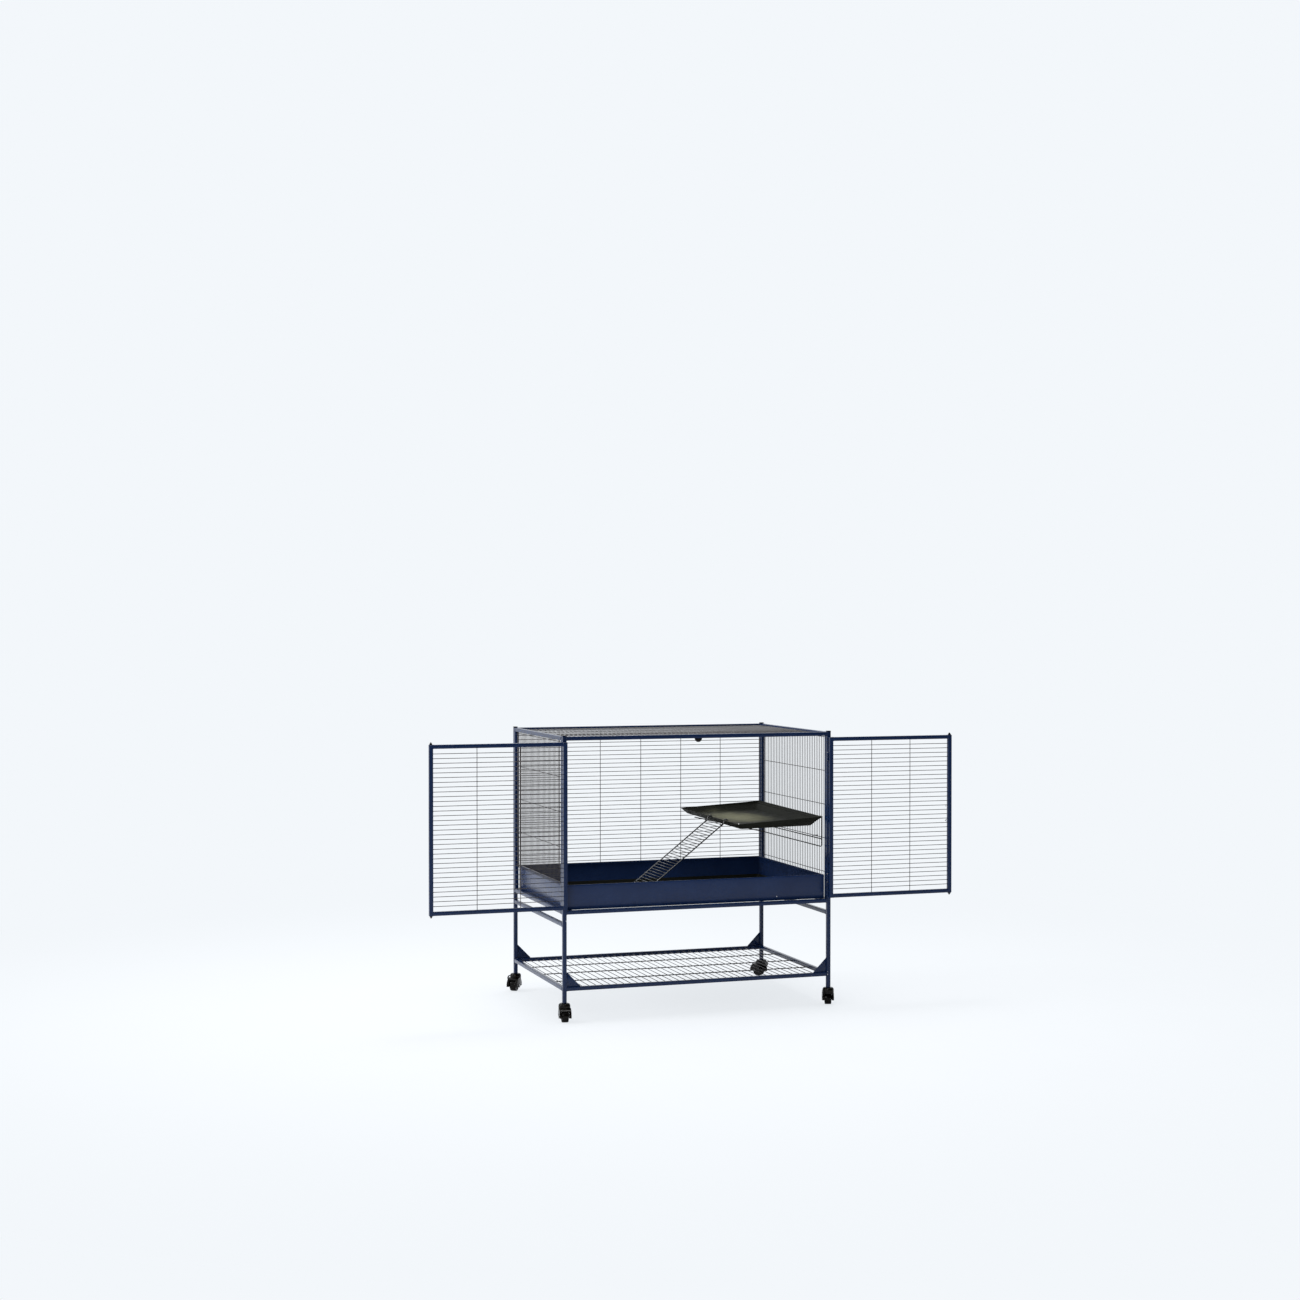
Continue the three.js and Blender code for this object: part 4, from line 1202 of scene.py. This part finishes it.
for label in turns:
    body = f"{label}_swivel_body"
    caster_hood(label, body)
    caster_fittings(label, body)
    wheel = mount_caster(wheel_body(), label)
    rolls = f"{label}_wheel_body"
    make_piece(f"{label}_wheel", wheel, rolls, "black_plastic", [f"{label}_caster_wheel"], smooth=40)
    axle = mount_caster(axle_pin(), label)
    make_piece(f"{label}_axle", axle, body, "pin_steel", [f"{label}_caster_axle"], smooth=40)
print("casters made")

# %% Brake levers
def brake_lever():
    middle = [(-20.4, 51), (-24.4, 51), (-28.3, 45.6), (-28.3, 38.6), (-24, 33.6), (-21.4, 33.6)]
    path = rounded_path([(x, 0, z) for x, z in middle], 4)
    rings = []
    for i, point in enumerate(path):
        along = path[min(i + 1, len(path) - 1)] - path[max(i - 1, 0)]
        along /= np.linalg.norm(along)
        across = np.array((along[2], 0, -along[0]))
        rings.append([point + u * np.array((0, 1, 0)) + v * across for u, v in round_ring(5, 1.5, 1.0, 3)])
    return Stock().loft(rings)


for label in ("back_left", "back_right"):
    lever = mount_caster(brake_lever(), label)
    make_piece(f"{label}_brake", lever, f"{label}_brake_body", "black_plastic", [f"{label}_brake_lever"],
               smooth=50)
print("brake levers made")

# %% [markdown]
# ## Finishes for the nodes that stay
#
# The hinge pins and the tray runners are right as the CAD model has them, so only their material changes.

# %% Remaining CAD nodes
shown = {"hinge_pin": bright_steel, "tray_runner": navy_paint}
for name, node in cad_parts.items():
    for part_name, finish in shown.items():
        if part_name in name:
            node.data.materials.clear()
            node.data.materials.append(finish)
            node.data.shade_smooth()
            node.data.set_sharp_from_angle(angle=math.radians(30))
            print(name, "->", finish.name)

# %% [markdown]
# ## Studio
#
# The picture wants an even, slightly cool white ground with a soft shadow. The floor glows for the camera
# only, more and more with the distance from the cage, so that it meets the world without a line and still
# darkens where the cage shades it. The world that lights the cage is bright behind and to the left, and
# dim in front, which keeps the front faces deep navy and lets the sides and tops of the tubes shine.

# %% Floor, world and lamps
ground_white = srgb(243, 247, 251)


def studio_floor():
    mesh = bpy.data.meshes.new("studio_floor")
    mesh.from_pydata([(x * 9, y * 9, 0) for x, y in ((-1, -1), (1, -1), (1, 1), (-1, 1))], [], [(0, 1, 2, 3)])
    floor = bpy.data.objects.new("studio_floor", mesh)
    bpy.context.scene.collection.objects.link(floor)
    pale = Finish("pale studio floor")
    mottle = pale.noise(3, 2)
    pale.surface(Base_Color=pale.mix(mottle, srgb(236, 238, 240), srgb(243, 244, 246)), Roughness=0.9)
    glow = pale.node("ShaderNodeEmission", sockets={"Color": ground_white, "Strength": 1.0})
    distance = pale.node("ShaderNodeVectorMath", {"operation": "LENGTH"}, {0: pale.place()}, "Value")
    blend = pale.tree.nodes.new("ShaderNodeMixShader")
    pale.feed(blend.inputs[0], pale.seen() * pale.steps(distance, 0.6, 3.2, 0.8, 1.0))
    pale.tree.links.new(pale.shader.outputs[0], blend.inputs[1])
    pale.tree.links.new(glow.socket, blend.inputs[2])
    pale.tree.links.new(blend.outputs[0], pale.tree.nodes["Material Output"].inputs["Surface"])
    floor.data.materials.append(pale.material)


def studio_world():
    sky = Finish("studio", world=True)
    bpy.context.scene.world = sky.material
    direction = sky.node("ShaderNodeTexCoord", output="Generated")
    axis = lambda name: sky.node("ShaderNodeSeparateXYZ", sockets={0: direction}, output=name)
    behind = sky.steps(axis("Y") - 0.45 * axis("X") + 0.3 * axis("Z"), -0.7, 0.3, 0.13, 1.05)
    seen = sky.seen()
    sky.surface(Color=ground_white, Strength=seen + (1 - seen) * behind)


def lamp(name, place, aim, size, power):
    data = bpy.data.lights.new(name, "AREA")
    data.shape = "DISK"
    data.size = size
    data.energy = power
    light = bpy.data.objects.new(name, data)
    light.location = place
    x, y, z = np.array(aim) - np.array(place)
    light.rotation_euler = (math.atan2(math.hypot(x, y), -z), 0, math.atan2(y, x) - math.pi / 2)
    bpy.context.scene.collection.objects.link(light)


studio_floor()
studio_world()
lamp("left_key", (-4.6, 0.6, 3.0), (0, 0, 0.6), 2.6, 130)
lamp("overhead", (0.2, 0.2, 4.2), (0, 0, 0.4), 1.6, 90)
lamp("front_fill", (-3.2, -4.6, 2.2), (0, 0, 0.5), 2.6, 80)
scene = bpy.context.scene
scene.view_settings.view_transform = "Standard"
